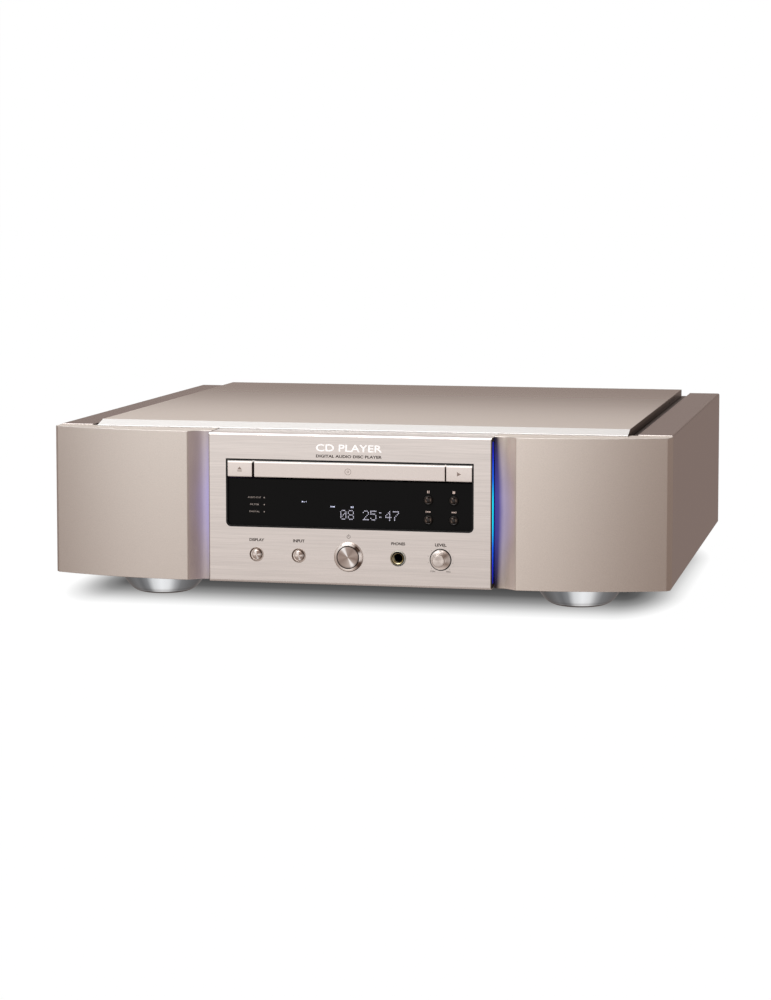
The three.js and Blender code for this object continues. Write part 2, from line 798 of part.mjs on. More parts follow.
// Loader: an open frame on four posts, with side guides for the drawer and lugs for the clamp arm.
function loaderFrame() {
  const deckTop = LOADER_LOW + LOADER_THICK;
  const [y0, y1] = [LOADER_FRONT, LOADER_REAR];
  const guideInner = TRAY_HALF + 1;
  const guideOuter = guideInner + 4;
  const lipInner = TRAY_HALF - 2.5;
  const lugHalf = 6;
  const postX = 80;
  const halfWidth = 88;
  const guides = [];
  for (const side of [-1, 1]) {
    const across = (inner) => (side > 0 ? [inner, guideOuter] : [-guideOuter, -inner]);
    guides.push(
      box(...across(guideInner), y0, y1, LOADER_LOW, LOADER_TOP),
      box(...across(lipInner), y0, y1, TRAY_HIGH + 0.4, LOADER_TOP),
      box(...across(guideInner), CLAMP_PIVOT_Y - lugHalf, CLAMP_PIVOT_Y + lugHalf, LOADER_TOP - 1, 112),
      ...[-146, -18].map((y) => post(side * postX, y, FLOOR, LOADER_LOW + 0.5, 4, 12)),
    );
  }
  const [under, over] = [LOADER_LOW - 3, deckTop + 4];
  return cut(
    join(box(-halfWidth, halfWidth, y0, y1, LOADER_LOW, deckTop), ...guides),
    box(-50, 50, -150, -31, under, over),
    rod(CLAMP_PIVOT_Y, CLAMP_PIVOT_Z, -75, 75, PIVOT_RADIUS + 0.4, 16),
    box(-halfWidth - 0.5, -55, y0 - 1, LOADER_MOTOR_Y + 8, deckTop + 0.5, TRAY_LOW),
    post(PINION_X, PINION_Y, under, over, GEAR_SPINDLE + GAP, 12),
    post(PINION_X, LOADER_MOTOR_Y, under, over, 7, 16),
  );
}

// Drawer gear: pinion above, belt pulley below, on its own spindle.
function trayGear() {
  const groove = PULLEY_RADIUS - GROOVE_DEPTH;
  const low = BELT_Z - PULLEY_HALF;
  const high = BELT_Z + PULLEY_HALF;
  const hub = 9;
  const foot = 71;
  const teeth = extruded(gearOutline(PINION_TEETH), 2.4);
  const pulley = turnedUpright(PINION_X, PINION_Y, [
    [0, foot],
    [GEAR_SPINDLE, foot],
    [GEAR_SPINDLE, low],
    [PULLEY_RADIUS, low],
    [groove, BELT_Z - GROOVE_HALF],
    [groove, BELT_Z + GROOVE_HALF],
    [PULLEY_RADIUS, high],
    [hub, high],
    [hub, RACK_LOW],
    [0, RACK_LOW],
  ], 20);
  return join(solidOf(teeth.translate(PINION_X, PINION_Y, RACK_LOW - GAP)), pulley);
}

function motorPulley() {
  const rim = MOTOR_PULLEY_RADIUS + 1;
  const groove = rim - MOTOR_GROOVE_DEPTH;
  return turnedUpright(PINION_X, LOADER_MOTOR_Y, [
    [0, LOADING_MOTOR_TOP + 1],
    [rim, BELT_Z - PULLEY_HALF],
    [groove, BELT_Z - GROOVE_HALF],
    [groove, BELT_Z + GROOVE_HALF],
    [rim, BELT_Z + PULLEY_HALF],
    [0, BELT_Z + PULLEY_HALF + 0.4],
  ], 14);
}

function loadingMotor() {
  const bottom = 50;
  return join(
    post(PINION_X, LOADER_MOTOR_Y, bottom, LOADING_MOTOR_TOP, 6.4, 16),
    post(PINION_X, LOADER_MOTOR_Y, bottom - 3, bottom + 0.1, 3, 10),
  );
}

// Drive belt: an open-belt loop round the two grooves.
function driveBelt() {
  const big = PULLEY_RADIUS - GROOVE_DEPTH + GAP;
  const small = MOTOR_PULLEY_RADIUS + 1 - MOTOR_GROOVE_DEPTH + GAP;
  const lean = Math.asin((big - small) / (LOADER_MOTOR_Y - PINION_Y));
  const loop = (extra) => [
    ...arcPoints(PINION_X, PINION_Y, big + extra, Math.PI - lean, 2 * Math.PI + lean, 16),
    ...arcPoints(PINION_X, LOADER_MOTOR_Y, small + extra, lean, Math.PI - lean, 8),
  ];
  const half = 0.9;
  return cut(
    slab(loop(BELT_THICK), BELT_Z - half, BELT_Z + half),
    slab(loop(0), BELT_Z - half - 1, BELT_Z + half + 1),
  );
}

// Traverse: the tilting plate that carries the spindle, the pick-up and its drive.
function traverseFrame() {
  const [z0, z1] = [TRAVERSE_Z, TRAVERSE_Z + TRAVERSE_THICK];
  const half = 45;
  const lugs = [];
  for (const x of [-RAIL_X, RAIL_X]) {
    for (const y of [-108.4, -39]) lugs.push(box(x - 4, x + 4, y, y + 3, z0, RAIL_Z + 3.5));
  }
  const pivots = [[-48.5, -half + 5], [half - 5, 48.5]].map(([x0, x1]) =>
    rod(TRAVERSE_PIVOT_Y, TRAVERSE_Z + 1, x0, x1, PIVOT_RADIUS, 10),
  );
  const bore = (x, y0) => drum(x, RAIL_Z, y0, RAIL_END + GAP, RAIL_BORE, 10);
  return cut(
    join(box(-half, half, -143, -33, z0, z1), ...lugs, ...pivots),
    box(-29.5, 29.5, -105, -39.2, z0 - 1, z1 + 0.5),
    box(RAIL_X - 7.2, RAIL_X + 7.2, -129, SLED_MOTOR_REAR + 0.1, z0 - 1, z1 + 1),
    bore(-RAIL_X, -107.4),
    bore(RAIL_X, -110),
  );
}

function spindleMotor() {
  const low = TRAVERSE_Z + TRAVERSE_THICK + GAP;
  return cut(
    join(post(0, DISC_Y, low, 93.2, 12, 20), post(0, DISC_Y, low, low + 1.2, 14, 20)),
    post(0, DISC_Y, 88.5, 94, 1.8, 10),
  );
}

function turntable() {
  const seat = DISC_FLOOR + 1;
  const low = 94.4;
  return turnedUpright(0, DISC_Y, [
    [0, 89],
    [1.5, 89],
    [1.5, low],
    [HUB_RADIUS - 0.5, low],
    [HUB_RADIUS, low + 0.6],
    [HUB_RADIUS, seat],
    [8, seat],
    [7.4, seat + 0.4],
    [6.2, seat + 2],
    [0, seat + 2],
  ], 20);
}

// Clamp puck: a disc that rests on the hub, with a neck and a cap that hang it from the arm.
function discClamp() {
  const neck = 4.5;
  const cap = 8.5;
  return turnedUpright(0, DISC_Y, [
    [0, 101],
    [8.2, 101],
    [8.6, 99.7],
    [HUB_RADIUS - 0.5, 99.7],
    [HUB_RADIUS, 100.2],
    [HUB_RADIUS, 102.9],
    [HUB_RADIUS - 1, 103.6],
    [neck, 103.6],
    [neck, 110.2],
    [cap, 110.2],
    [cap, 111.4],
    [cap - 1, 112],
    [0, 112],
  ], 20);
}

// Clamp arm: a plate across the loader with a round end over the disc, on a pivot tube.
function clampArm() {
  const low = 106.5;
  const thick = 1.5;
  const half = 58;
  const outline = [
    [-half, -36],
    [-half, -48],
    [-16, -112],
    ...arcPoints(0, DISC_Y, CLAMP_HEAD, Math.PI * 0.85, Math.PI * 2.15, 12),
    [16, -112],
    [half, -48],
    [half, -36],
  ];
  const [under, over] = [low - 6, low + 6];
  const windows = [-1, 1].map((side) =>
    slab([[side * 12, -96], [side * 12, -56], [side * 40, -56]], under, over),
  );
  return cut(
    join(
      slab(outline, low, low + thick),
      rod(CLAMP_PIVOT_Y, CLAMP_PIVOT_Z, -61.5, 61.5, PIVOT_RADIUS + 0.8, 16),
      rod(CLAMP_PIVOT_Y, CLAMP_PIVOT_Z, -69.5, 69.5, PIVOT_RADIUS, 16),
    ),
    post(0, DISC_Y, under, over, 6, 16),
    ...windows,
  );
}

// Pick-up sled: rides on the rail and the screw, with the lens on top.
function pickupSled() {
  const [y0, y1] = [-103.5, -77];
  const lensY = -96;
  return cut(
    join(
      box(-27, 27, y0, y1, 80.5, 89.5),
      post(0, lensY, 89, 92.5, 8, 14),
      post(0, lensY, 92, 93.6, 3.4, 12),
      box(-10, 12, -92, -79, 76, 81),
    ),
    drum(-RAIL_X, RAIL_Z, y0 - 1, y1 + 1, RAIL_BORE, 10),
    drum(RAIL_X, RAIL_Z, y0 - 1, y1 + 1, RAIL_BORE + 0.1, 10),
  );
}

const sledRail = () => drum(-RAIL_X, RAIL_Z, -107, RAIL_END, 1.5, 10);

// Lead screw: rings stand for its thread.
function leadScrew() {
  const [front, root, crest] = [-108.1, 1.2, 1.6];
  const step = 4;
  const profile = [[0, front], [root, front]];
  for (let y = -102; y < -44; y += 2 * step) {
    profile.push([root, y], [crest, y + step / 2], [root, y + step]);
  }
  profile.push([root, RAIL_END], [0, RAIL_END]);
  return turned(RAIL_X, RAIL_Z, profile, 8);
}

function sledMotor() {
  const front = -128;
  return join(
    drum(RAIL_X, RAIL_Z, front, SLED_MOTOR_REAR, 6.2, 16),
    drum(RAIL_X, RAIL_Z, front - 1.5, front + 0.1, 2.5, 10),
  );
}

// ---------------------------------------------------------------- inside the case
// A board on spacers, with its parts standing on it.
function board(x0, x1, y0, y1, parts) {
  const top = BOARD_Z + BOARD_THICK;
  const spacers = [];
  for (const x of [x0 + 5, x1 - 5]) {
    for (const y of [y0 + 5, y1 - 5]) spacers.push(post(x, y, FLOOR, BOARD_Z + 0.5, 3, 6));
  }
  const stands = parts.map(({ at: [x, y], size, height }) =>
    typeof size === "number"
      ? post(x, y, top - 0.2, top + height, size, 8)
      : box(x - size[0] / 2, x + size[0] / 2, y - size[1] / 2, y + size[1] / 2, top - 0.2, top + height),
  );
  return join(box(x0, x1, y0, y1, BOARD_Z, top), ...spacers, ...stands);
}

// Toroidal transformer in a can, held by one central bolt.
function transformer() {
  const can = 47;
  const flange = can + 5;
  const flangeTop = FLOOR + 3;
  const lid = 82;
  const bolt = 7;
  return turnedUpright(-148, -92, [
    [0, FLOOR],
    [flange, FLOOR],
    [flange, flangeTop],
    [can, flangeTop],
    [can, lid - 4],
    [can - 3, lid],
    [bolt + 7, lid],
    [bolt + 5, lid - 1.5],
    [bolt, lid - 1.5],
    [bolt, lid + 3],
    [0, lid + 3],
  ], 20);
}

function powerSupplyBoard() {
  const parts = [];
  for (const x of [-190, -160, -130]) parts.push({ at: [x, 18], size: 12, height: 42 });
  for (const x of [-195, -175, -155, -135]) parts.push({ at: [x, 55], size: 8, height: 25 });
  parts.push({ at: [-150, 88], size: [86, 8], height: 40 });
  for (const y of [84, 90]) parts.push({ at: [-150, y], size: [80, 3], height: 44 });
  for (const x of [-190, -170]) parts.push({ at: [x, 118], size: [14, 10], height: 12 });
  return board(-206, -98, -10, 140, parts);
}

function mainBoard() {
  const parts = [];
  for (const y of [20, 55, 90]) parts.push({ at: [-50, y], size: [24, 24], height: 2.4 });
  for (const x of [0, 22, 44, 66]) parts.push({ at: [x, 30], size: 4, height: 9 });
  parts.push({ at: [40, 90], size: [60, 50], height: 20 });
  parts.push({ at: [-20, 135], size: [90, 12], height: 10 });
  return board(-88, 88, -4, 170, parts);
}

// The two channels mirror each other along the board.
function analogueBoard() {
  const parts = [];
  for (const x of [122, 178]) {
    for (const y of [-110, -70, -30, 10]) parts.push({ at: [x, y], size: [24, 20], height: 12 });
    for (const y of [-130, -90, -50, -10]) parts.push({ at: [x + 18, y], size: 5, height: 14 });
    parts.push({ at: [x, 60], size: 9, height: 30 });
    parts.push({ at: [x, 95], size: [30, 14], height: 16 });
  }
  return board(96, 206, -145, 150, parts);
}

// ---------------------------------------------------------------- rear sockets
const OUTSIDE = REAR_FACE + 1; // sockets' shoulders stand here, clear of the rear panel

function phono(x, z) {
  const { radius, shoulder } = PHONO;
  const bore = 3.4;
  const pin = 1.6;
  return turned(x, z, [
    [0, 192],
    [radius + shoulder, 192],
    [radius + shoulder, OUTSIDE],
    [radius + 2.4, OUTSIDE],
    [radius + 2.4, OUTSIDE + 2],
    [radius, OUTSIDE + 2],
    [radius, TERMINAL_END],
    [bore, TERMINAL_END],
    [bore, OUTSIDE + 3],
    [pin + 0.3, OUTSIDE + 3],
    [pin, OUTSIDE + 5],
    [pin, OUTSIDE + 2.5],
    [0, OUTSIDE + 2.5],
  ], 10);
}

function phonoSockets() {
  const [left, right] = PHONO.xs;
  const edge = 12;
  return join(
    box(left - edge, right + edge, 174, 193, PHONO.z - edge, PHONO.z + edge),
    ...PHONO.xs.map((x) => phono(x, PHONO.z)),
  );
}

// Balanced outputs: round shells with three pins, on square flanges outside the rear panel.
function balancedSockets() {
  const [left, right] = BALANCED.xs;
  const { z, radius } = BALANCED;
  const edge = 12;
  const pinCircle = 3.4;
  const outers = [];
  const mouths = [];
  const pins = [];
  for (const x of BALANCED.xs) {
    const square = roundedRectangle(x - 13, x + 13, z - 15.5, z + 15.5, 3);
    outers.push(drum(x, z, 190, OUTSIDE, radius), plate(square, REAR_FACE + GAP, OUTSIDE + 1.6, 4));
    mouths.push(drum(x, z, 183, OUTSIDE + 3, radius - 2));
    for (const degrees of [90, 210, 330]) {
      const angle = (degrees * Math.PI) / 180;
      const [px, pz] = [x + pinCircle * Math.cos(angle), z + pinCircle * Math.sin(angle)];
      pins.push(drum(px, pz, 182, 192, 1.2, 6));
    }
  }
  const block = box(left - edge, right + edge, 172, 190.5, z - edge, z + edge);
  return join(cut(join(block, ...outers), ...mouths), ...pins);
}

// Digital sockets: four square bodies with round or square mouths, on one block.
function digitalSockets() {
  const { xs, z, halfWidth, halfHeight } = DIGITAL;
  const bodies = xs.map((x, i) => {
    const body = box(x - halfWidth, x + halfWidth, 188, OUTSIDE + 1, z - halfHeight, z + halfHeight);
    return i < 2
      ? join(body, phono(x, z))
      : cut(body, box(x - 4.6, x + 4.6, 192, OUTSIDE + 3, z - 3.9, z + 4.3));
  });
  return join(box(xs[0] - 10, xs[3] + 10, 176, 190, z - 9, z + 9), ...bodies);
}

// Mains inlet with its three blades.
function acInlet() {
  const { x, z, halfWidth, halfHeight, wall } = INLET;
  const [across, up] = [halfWidth + wall, halfHeight + wall];
  const flange = roundedRectangle(x - 24, x + 24, z - 14, z + 14, 6);
  const body = box(x - across, x + across, 172, OUTSIDE + 1, z - up, z + up);
  const mouth = box(x - halfWidth, x + halfWidth, 184, OUTSIDE + 4, z - halfHeight, z + halfHeight);
  const blades = [[-7, -2], [0, 3], [7, -2]].map(([dx, dz]) =>
    box(x + dx - 1, x + dx + 1, 180, 192, z + dz - 2, z + dz + 2),
  );
  const shell = join(plate(flange, REAR_FACE + GAP, OUTSIDE + 2.5, 4), body);
  return join(cut(shell, mouth), ...blades);
}

// ---------------------------------------------------------------- assembly
piece("top_cover", topCover(), "blastedGold");
for (const [word, side] of [["left", -1], ["right", 1]]) {
  piece(`${word}_side_panel`, sidePanel(side), "blastedGold");
  piece(`${word}_front_wing`, wing(side), "blastedGold");
  piece(`${word}_light_guide`, lightGuide(side), "lightGuide");
  for (const [place, y] of [["front", FOOT_FRONT_Y], ["rear", FOOT_REAR_Y]]) {
    piece(`${place}_${word}_foot`, foot(side * FOOT_X, y), "satinSilver");
    piece(`${place}_${word}_foot_pad`, footPad(side * FOOT_X, y), "rubber");
  }
}
piece("front_centre_panel", centrePanel(), "brushedGold");
piece("front_subpanel", frontSubpanel(), "steel");
piece("base_chassis", baseChassis(), "copper");
piece("bottom_plate", bottomPlate(), "copper");
piece("rear_panel", rearPanel(), "blastedGold");

piece("display_window", displayWindow(), "blackGloss");
piece("display_module", displayModule(), "greyPlastic");
piece("front_button_board", buttonBoard(), "board");
piece("eject_button", barButton(EJECT_SPAN), "brushedGold");
piece("play_button", barButton(PLAY_SPAN), "brushedGold");
for (const [name, [x, z]] of Object.entries(SMALL_BUTTONS)) {
  piece(name, roundButton(x, z, SMALL_RADIUS, GLASS_FRONT, 0.2, 0.9), "blackGloss");
}
piece("display_button", roundButton(DISPLAY_X, CONTROL_ROW, 3.3, PANEL_FRONT, 0.5, 0.8), "polished");
piece("input_button", roundButton(INPUT_X, CONTROL_ROW, 3.3, PANEL_FRONT, 0.5, 0.8), "polished");
piece("power_bezel", powerBezel(), "polished");
piece("power_button", powerButton(), "brushedGold");
piece("phones_jack", phonesJack(), "brass");
piece("level_knob", levelKnob(), "brushedGold");
piece("level_pot", levelPot(), "steel");

piece("disc_tray", discTray(), "blackPlastic");
piece("tray_door", trayDoor(), "brushedGold");
piece("loader_frame", loaderFrame(), "blackPlastic");
piece("tray_gear", trayGear(), "whitePlastic");
piece("motor_pulley", motorPulley(), "whitePlastic");
piece("loading_motor", loadingMotor(), "steel");
piece("drive_belt", driveBelt(), "rubber");
piece("traverse_frame", traverseFrame(), "steel");
piece("spindle_motor", spindleMotor(), "steel");
piece("turntable", turntable(), "blackPlastic");
piece("disc_clamp", discClamp(), "blackPlastic");
piece("clamp_arm", clampArm(), "steel");
piece("pickup_sled", pickupSled(), "greyPlastic");
piece("sled_rail", sledRail(), "polished");
piece("lead_screw", leadScrew(), "whitePlastic");
piece("sled_motor", sledMotor(), "steel");

piece("transformer", transformer(), "copper");
piece("power_supply_board", powerSupplyBoard(), "board");
piece("main_board", mainBoard(), "board");
piece("analogue_board", analogueBoard(), "board");
piece("phono_sockets", phonoSockets(), "brass");
piece("balanced_sockets", balancedSockets(), "polished");
piece("digital_sockets", digitalSockets(), "blackPlastic");
piece("ac_inlet", acInlet(), "blackPlastic");

export default player;
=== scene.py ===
"""Looks for the disc player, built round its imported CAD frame. Metres, -Y is the front, +Z is up."""
import math

import bmesh
import bpy
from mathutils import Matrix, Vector


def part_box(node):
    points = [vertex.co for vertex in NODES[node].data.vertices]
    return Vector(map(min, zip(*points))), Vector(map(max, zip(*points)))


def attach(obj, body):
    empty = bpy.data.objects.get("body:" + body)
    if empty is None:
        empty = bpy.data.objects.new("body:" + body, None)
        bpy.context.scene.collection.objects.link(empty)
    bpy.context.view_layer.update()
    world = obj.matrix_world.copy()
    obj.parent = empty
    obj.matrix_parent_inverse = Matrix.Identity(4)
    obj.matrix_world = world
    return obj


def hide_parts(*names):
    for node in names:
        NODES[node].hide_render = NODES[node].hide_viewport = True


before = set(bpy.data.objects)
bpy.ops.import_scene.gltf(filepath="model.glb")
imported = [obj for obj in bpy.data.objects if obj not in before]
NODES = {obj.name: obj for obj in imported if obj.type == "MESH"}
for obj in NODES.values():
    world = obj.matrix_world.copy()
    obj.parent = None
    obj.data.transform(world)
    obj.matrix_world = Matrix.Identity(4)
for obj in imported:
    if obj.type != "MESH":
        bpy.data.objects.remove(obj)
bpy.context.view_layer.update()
scene = bpy.context.scene
MM = 0.001

# ---------------------------------------------------------------- camera
camera_data = bpy.data.cameras.new("camera")
camera_data.sensor_width = 36
camera_data.lens = 94.82
camera_data.shift_y = -0.10
camera_data.clip_start = 0.05
camera = bpy.data.objects.new("camera", camera_data)
camera.location = (0.40307, -1.96070, 0.29771)
camera.rotation_euler = (math.pi / 2 - 0.0832924, 0, 0.2110634)
scene.collection.objects.link(camera)
scene.camera = camera
scene.view_settings.view_transform = "Standard"


# ---------------------------------------------------------------- materials
def add_node(tree, kind, inputs=(), **settings):
    """A shader node with each input set to a value, or linked to another node's output."""
    made = tree.nodes.new(kind)
    for key, value in settings.items():
        setattr(made, key, value)
    for key, value in dict(inputs).items():
        if isinstance(value, bpy.types.NodeSocket):
            tree.links.new(value, made.inputs[key])
        else:
            made.inputs[key].default_value = value
    return made


def srgb(color):
    """Display values from 0 to 255, or one value for a grey, as linear light."""
    if isinstance(color, int):
        color = (color,) * 3
    shares = (value / 255 for value in color)
    return tuple(c / 12.92 if c <= 0.04045 else ((c + 0.055) / 1.055) ** 2.4 for c in shares) + (1.0,)


MATERIALS = {}


class Look:
    """A procedural material, put together node by node. Coordinates are the row frame's, in metres."""

    def __init__(self, name, color, roughness=0.5, metallic=0.0, **fixed):
        self.material = MATERIALS[name] = bpy.data.materials.new(name)
        self.material.use_nodes = True
        self.tree = self.material.node_tree
        self.shader = self.tree.nodes["Principled BSDF"]
        self.color = srgb(color)
        self.paint(self.color)
        self.put("Roughness", roughness)
        self.put("Metallic", metallic)
        for socket, value in fixed.items():
            self.put(socket.replace("_", " "), value)
        self.place = self.node("ShaderNodeTexCoord").outputs["Object"]

    def put(self, socket, value):
        if isinstance(value, bpy.types.NodeSocket):
            self.tree.links.new(value, self.shader.inputs[socket])
        else:
            self.shader.inputs[socket].default_value = value

    def paint(self, color):
        self.put("Base Color", color)

    def roughen(self, pattern, low, high, start=0.3, end=0.7):
        self.put("Roughness", self.spread(pattern, low, high, start, end))

    def shine(self, color, strength):
        self.put("Emission Color", color)
        self.put("Emission Strength", strength)

    def node(self, kind, inputs=(), **settings):
        return add_node(self.tree, kind, inputs, **settings)

    def maths(self, operation, first, second=0.5, clamp=False):
        inputs = {0: first, 1: second}
        return self.node("ShaderNodeMath", inputs, operation=operation, use_clamp=clamp).outputs[0]

    def vector(self, operation, first, second=(0, 0, 0)):
        return self.node("ShaderNodeVectorMath", {0: first, 1: second}, operation=operation).outputs[0]

    def scaled(self, color, share):
        inputs = {0: color, "Scale": share}
        return self.node("ShaderNodeVectorMath", inputs, operation="SCALE").outputs[0]

    def stretched(self, x, y, z, about=(0, 0, 0)):
        """The place, scaled along each axis."""
        return self.vector("MULTIPLY", self.vector("SUBTRACT", self.place, about), (x, y, z))

    def noise(self, where, scale=1.0, detail=3.0, roughness=0.55):
        return self.node(
            "ShaderNodeTexNoise",
            {"Vector": where, "Scale": scale, "Detail": detail, "Roughness": roughness},
        ).outputs["Fac"]

    def spread(self, value, low, high, start=0.3, end=0.7):
        """A 0-1 pattern as numbers from low to high."""
        return self.node(
            "ShaderNodeMapRange",
            {"Value": value, "From Min": start, "From Max": end, "To Min": low, "To Max": high},
        ).outputs[0]

    def ramp(self, value, stops):
        made = self.node("ShaderNodeValToRGB", {"Fac": value})
        ramp = made.color_ramp
        while len(ramp.elements) < len(stops):
            ramp.elements.new(0.5)
        for element, (at, color) in zip(ramp.elements, stops):
            element.position = at
            element.color = color if isinstance(color, tuple) and len(color) == 4 else srgb(color)
        return made.outputs["Color"]

    def fade(self, value, color):
        """White at 0 and the colour at 1."""
        return self.ramp(value, [(0.0, 255), (1.0, color)])

    def speckle(self, value, dark, light, start=0.3, end=0.7):
        """The base colour, from dark to light times itself as the pattern goes from start to end."""
        tones = [(*(min(1, c * times) for c in self.color[:3]), 1) for times in (dark, light)]
        return self.ramp(value, [(start, tones[0]), (end, tones[1])])

    def tint(self, value, dark, light):
        self.paint(self.speckle(value, dark, light))

    def along(self, axis):
        return self.node("ShaderNodeSeparateXYZ", {"Vector": self.place}).outputs[axis]

    def height(self):
        return self.along("Z")

    def rise(self, low, high):
        """0 to 1 from one height to another."""
        return self.spread(self.height(), 0, 1, low, high)

    def across(self):
        """Distance from the middle plane."""
        return self.maths("ABSOLUTE", self.along("X"))

    def painted_shade_down(self):
        """Painted shade: white at the front's top edge, a little darker down to its foot."""
        return self.ramp(self.rise(0.018, 0.123), [(0.0, (243, 241, 240)), (1.0, 255)])

    def rim(self, top_edge, edge, top):
        """White up to a piece's top edge, then one tone on its rounding and another on the face above:
        painted shade on the top rounding, and on the face above where its tone is below white.
        """
        share = self.rise(top_edge - 0.0004, top_edge)
        return self.ramp(share, [(0.0, 255), (0.2, edge), (0.9, edge), (0.98, top)])

    def multiply(self, first, second):
        return self.node(
            "ShaderNodeMix", {0: 1.0, 6: first, 7: second}, data_type="RGBA", blend_type="MULTIPLY"
        ).outputs[2]

    def turn(self, where):
        """0 to 1 round the origin, from the left by way of the axis that points back."""
        return self.node("ShaderNodeTexGradient", {"Vector": where}, gradient_type="RADIAL").outputs["Fac"]

    def around(self, centre):
        """0 to 1 round a point of the front: 0.25 below it, 0.5 to its right, 0.75 above it."""
        near = self.vector("SUBTRACT", self.place, (centre[0] * MM, 0, centre[1] * MM))
        split = self.node("ShaderNodeSeparateXYZ", {"Vector": near}).outputs
        return self.turn(self.node("ShaderNodeCombineXYZ", {"X": split["X"], "Y": split["Z"]}).outputs[0])

    def ringed(self, axis):
        """Highlights that run round an axis, as they do on turned metal."""
        self.put("Tangent", self.node("ShaderNodeTangent", direction_type="RADIAL", axis=axis).outputs[0])

    def bump(self, height, distance, strength=1.0):
        inputs = {"Height": height, "Distance": distance, "Strength": strength}
        self.put("Normal", self.node("ShaderNodeBump", inputs).outputs["Normal"])

    def blast_grain(self, depth=0.00012, strength=0.5):
        """The fine grain that bead blasting leaves."""
        grain = self.noise(self.place, 1500, 4, 0.7)
        self.bump(grain, depth, strength)
        return grain


WING_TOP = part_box("left_front_wing")[1].z
PANEL_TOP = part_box("front_centre_panel")[1].z


def blasted(name, color, roughness):
    look = Look(name, color, roughness, 1.0)
    look.tint(look.blast_grain(), 0.955, 1.045)
    cloud = look.noise(look.place, 60, 2)
    look.roughen(cloud, roughness - 0.03, roughness + 0.04)


def painted_glow_scoop(name, color, near_glow, shade, lens, fill):
    """The wings' blasted metal, with a painted glow from the light guide on the hollow beside it, painted
    light across the hollow and painted shade next to the slot.
    """
    look = Look(name, color, 0.47, 1.0)
    height, across = look.height(), look.across()
    grain = look.blast_grain(strength=look.spread(height, 0.5, 0.06, 0.1222, 0.1228))
    behind = look.spread(look.along("Y"), 0, 1, -0.1982, -0.1974)
    below_top = look.spread(height, 1, 0, 0.1224, 0.1228)
    inside = look.spread(across, 1, 0, 0.1167, 0.1172)
    hollow = look.maths("MULTIPLY", look.maths("MULTIPLY", behind, below_top), inside)
    share = look.spread(height, 0, 1, 0.019, 0.1225)
    far = look.spread(across, 0, 1, 0.1002, 0.1168)
    out = look.maths("DIVIDE", far, look.ramp(share, lens), clamp=True)
    # Painted glow spread out from the guide, strongest at mid height, and painted light across the hollow;
    # both shine as emission on the hollow only.
    up = look.ramp(share, [(0.0, 30), (0.12, 150), (0.35, 240), (0.6, 255), (0.86, 190), (1.0, 60)])
    lit = look.multiply(look.ramp(out, near_glow), up)
    ends = look.ramp(share, [(0.0, 255), (0.3, 186), (0.7, 186), (1.0, 255)])
    filled = look.multiply(look.ramp(far, fill), ends)
    look.shine(look.scaled(look.vector("ADD", lit, filled), hollow), 1.0)
    # Painted shade down the front and on the top rounding.
    speckled = look.multiply(look.speckle(grain, 0.955, 1.045), look.painted_shade_down())
    speckled = look.multiply(speckled, look.rim(WING_TOP, (226, 226, 228), (246, 244, 242)))
    # Painted shade on the hollow, darkest next to the slot.
    tones = {0: hollow, 6: (1, 1, 1, 1), 7: look.ramp(out, shade)}
    dark = look.node("ShaderNodeMix", tones, data_type="RGBA").outputs[2]
    look.paint(look.multiply(speckled, dark))


def brushed(name, color, roughness=0.32, scales=(34, 1900, 1900)):
    """Metal with fine straight lines: the pattern is drawn out along the axis with the small scale. Painted
    shade darkens it down the front and on its top rounding, and a faint painted glow lies on its top face.
    """
    look = Look(name, color, roughness, 1.0)
    lines = look.noise(look.stretched(*scales), 1, 3, 0.6)
    wide = look.noise(look.stretched(*(scale * 0.36 for scale in scales)), 1, 2)
    half = look.node("ShaderNodeMix", {0: 0.34, 2: lines, 3: wide}).outputs[0]
    # Painted shade down the front and on the top rounding.
    toned = look.multiply(look.speckle(half, 0.885, 1.07, 0.36, 0.64), look.painted_shade_down())
    look.paint(look.multiply(toned, look.rim(PANEL_TOP, (222, 222, 226), 255)))
    # A faint painted glow on the top face.
    look.shine(look.color, look.spread(look.height(), 0, 0.09, PANEL_TOP - 0.00005, PANEL_TOP))
    look.roughen(lines, roughness - 0.05, roughness + 0.07)
    look.bump(half, 0.00006, look.spread(look.height(), 0.35, 0.02, 0.1212, 0.1222))


def moulded(name, color, roughness, grain=0.00008):
    """Moulded plastic or rubber with a fine eroded skin."""
    look = Look(name, color, roughness)
    cloud = look.noise(look.place, 90, 3)
    look.tint(cloud, 0.9, 1.1)
    look.roughen(cloud, roughness - 0.06, min(1, roughness + 0.06))
    look.bump(look.noise(look.place, 2600, 3, 0.6), grain, 0.6)


def zinc(name, color, roughness=0.42):
    """Plated sheet with its faint crystal pattern."""
    look = Look(name, color, roughness, 1.0)
    cells = look.node("ShaderNodeTexVoronoi", {"Vector": look.place, "Scale": 160}, feature="F1")
    patch = look.node("ShaderNodeSeparateColor", {"Color": cells.outputs["Color"]}).outputs[0]
    look.tint(patch, 0.93, 1.05)
    look.roughen(patch, roughness - 0.05, roughness + 0.08, 0, 1)
    look.bump(look.noise(look.place, 1200, 3), 0.00005, 0.3)


def spun(name, color, roughness):
    """Metal turned on a lathe: fine rings about the piece's own axis."""
    look = Look(name, color, roughness, 1.0, Anisotropic=0.75)
    look.ringed("Y")
    cloud = look.noise(look.place, 420, 3)
    look.tint(cloud, 0.94, 1.04)
    look.roughen(cloud, roughness - 0.03, roughness + 0.05)
    look.bump(look.noise(look.place, 3000, 2), 0.00002, 0.25)


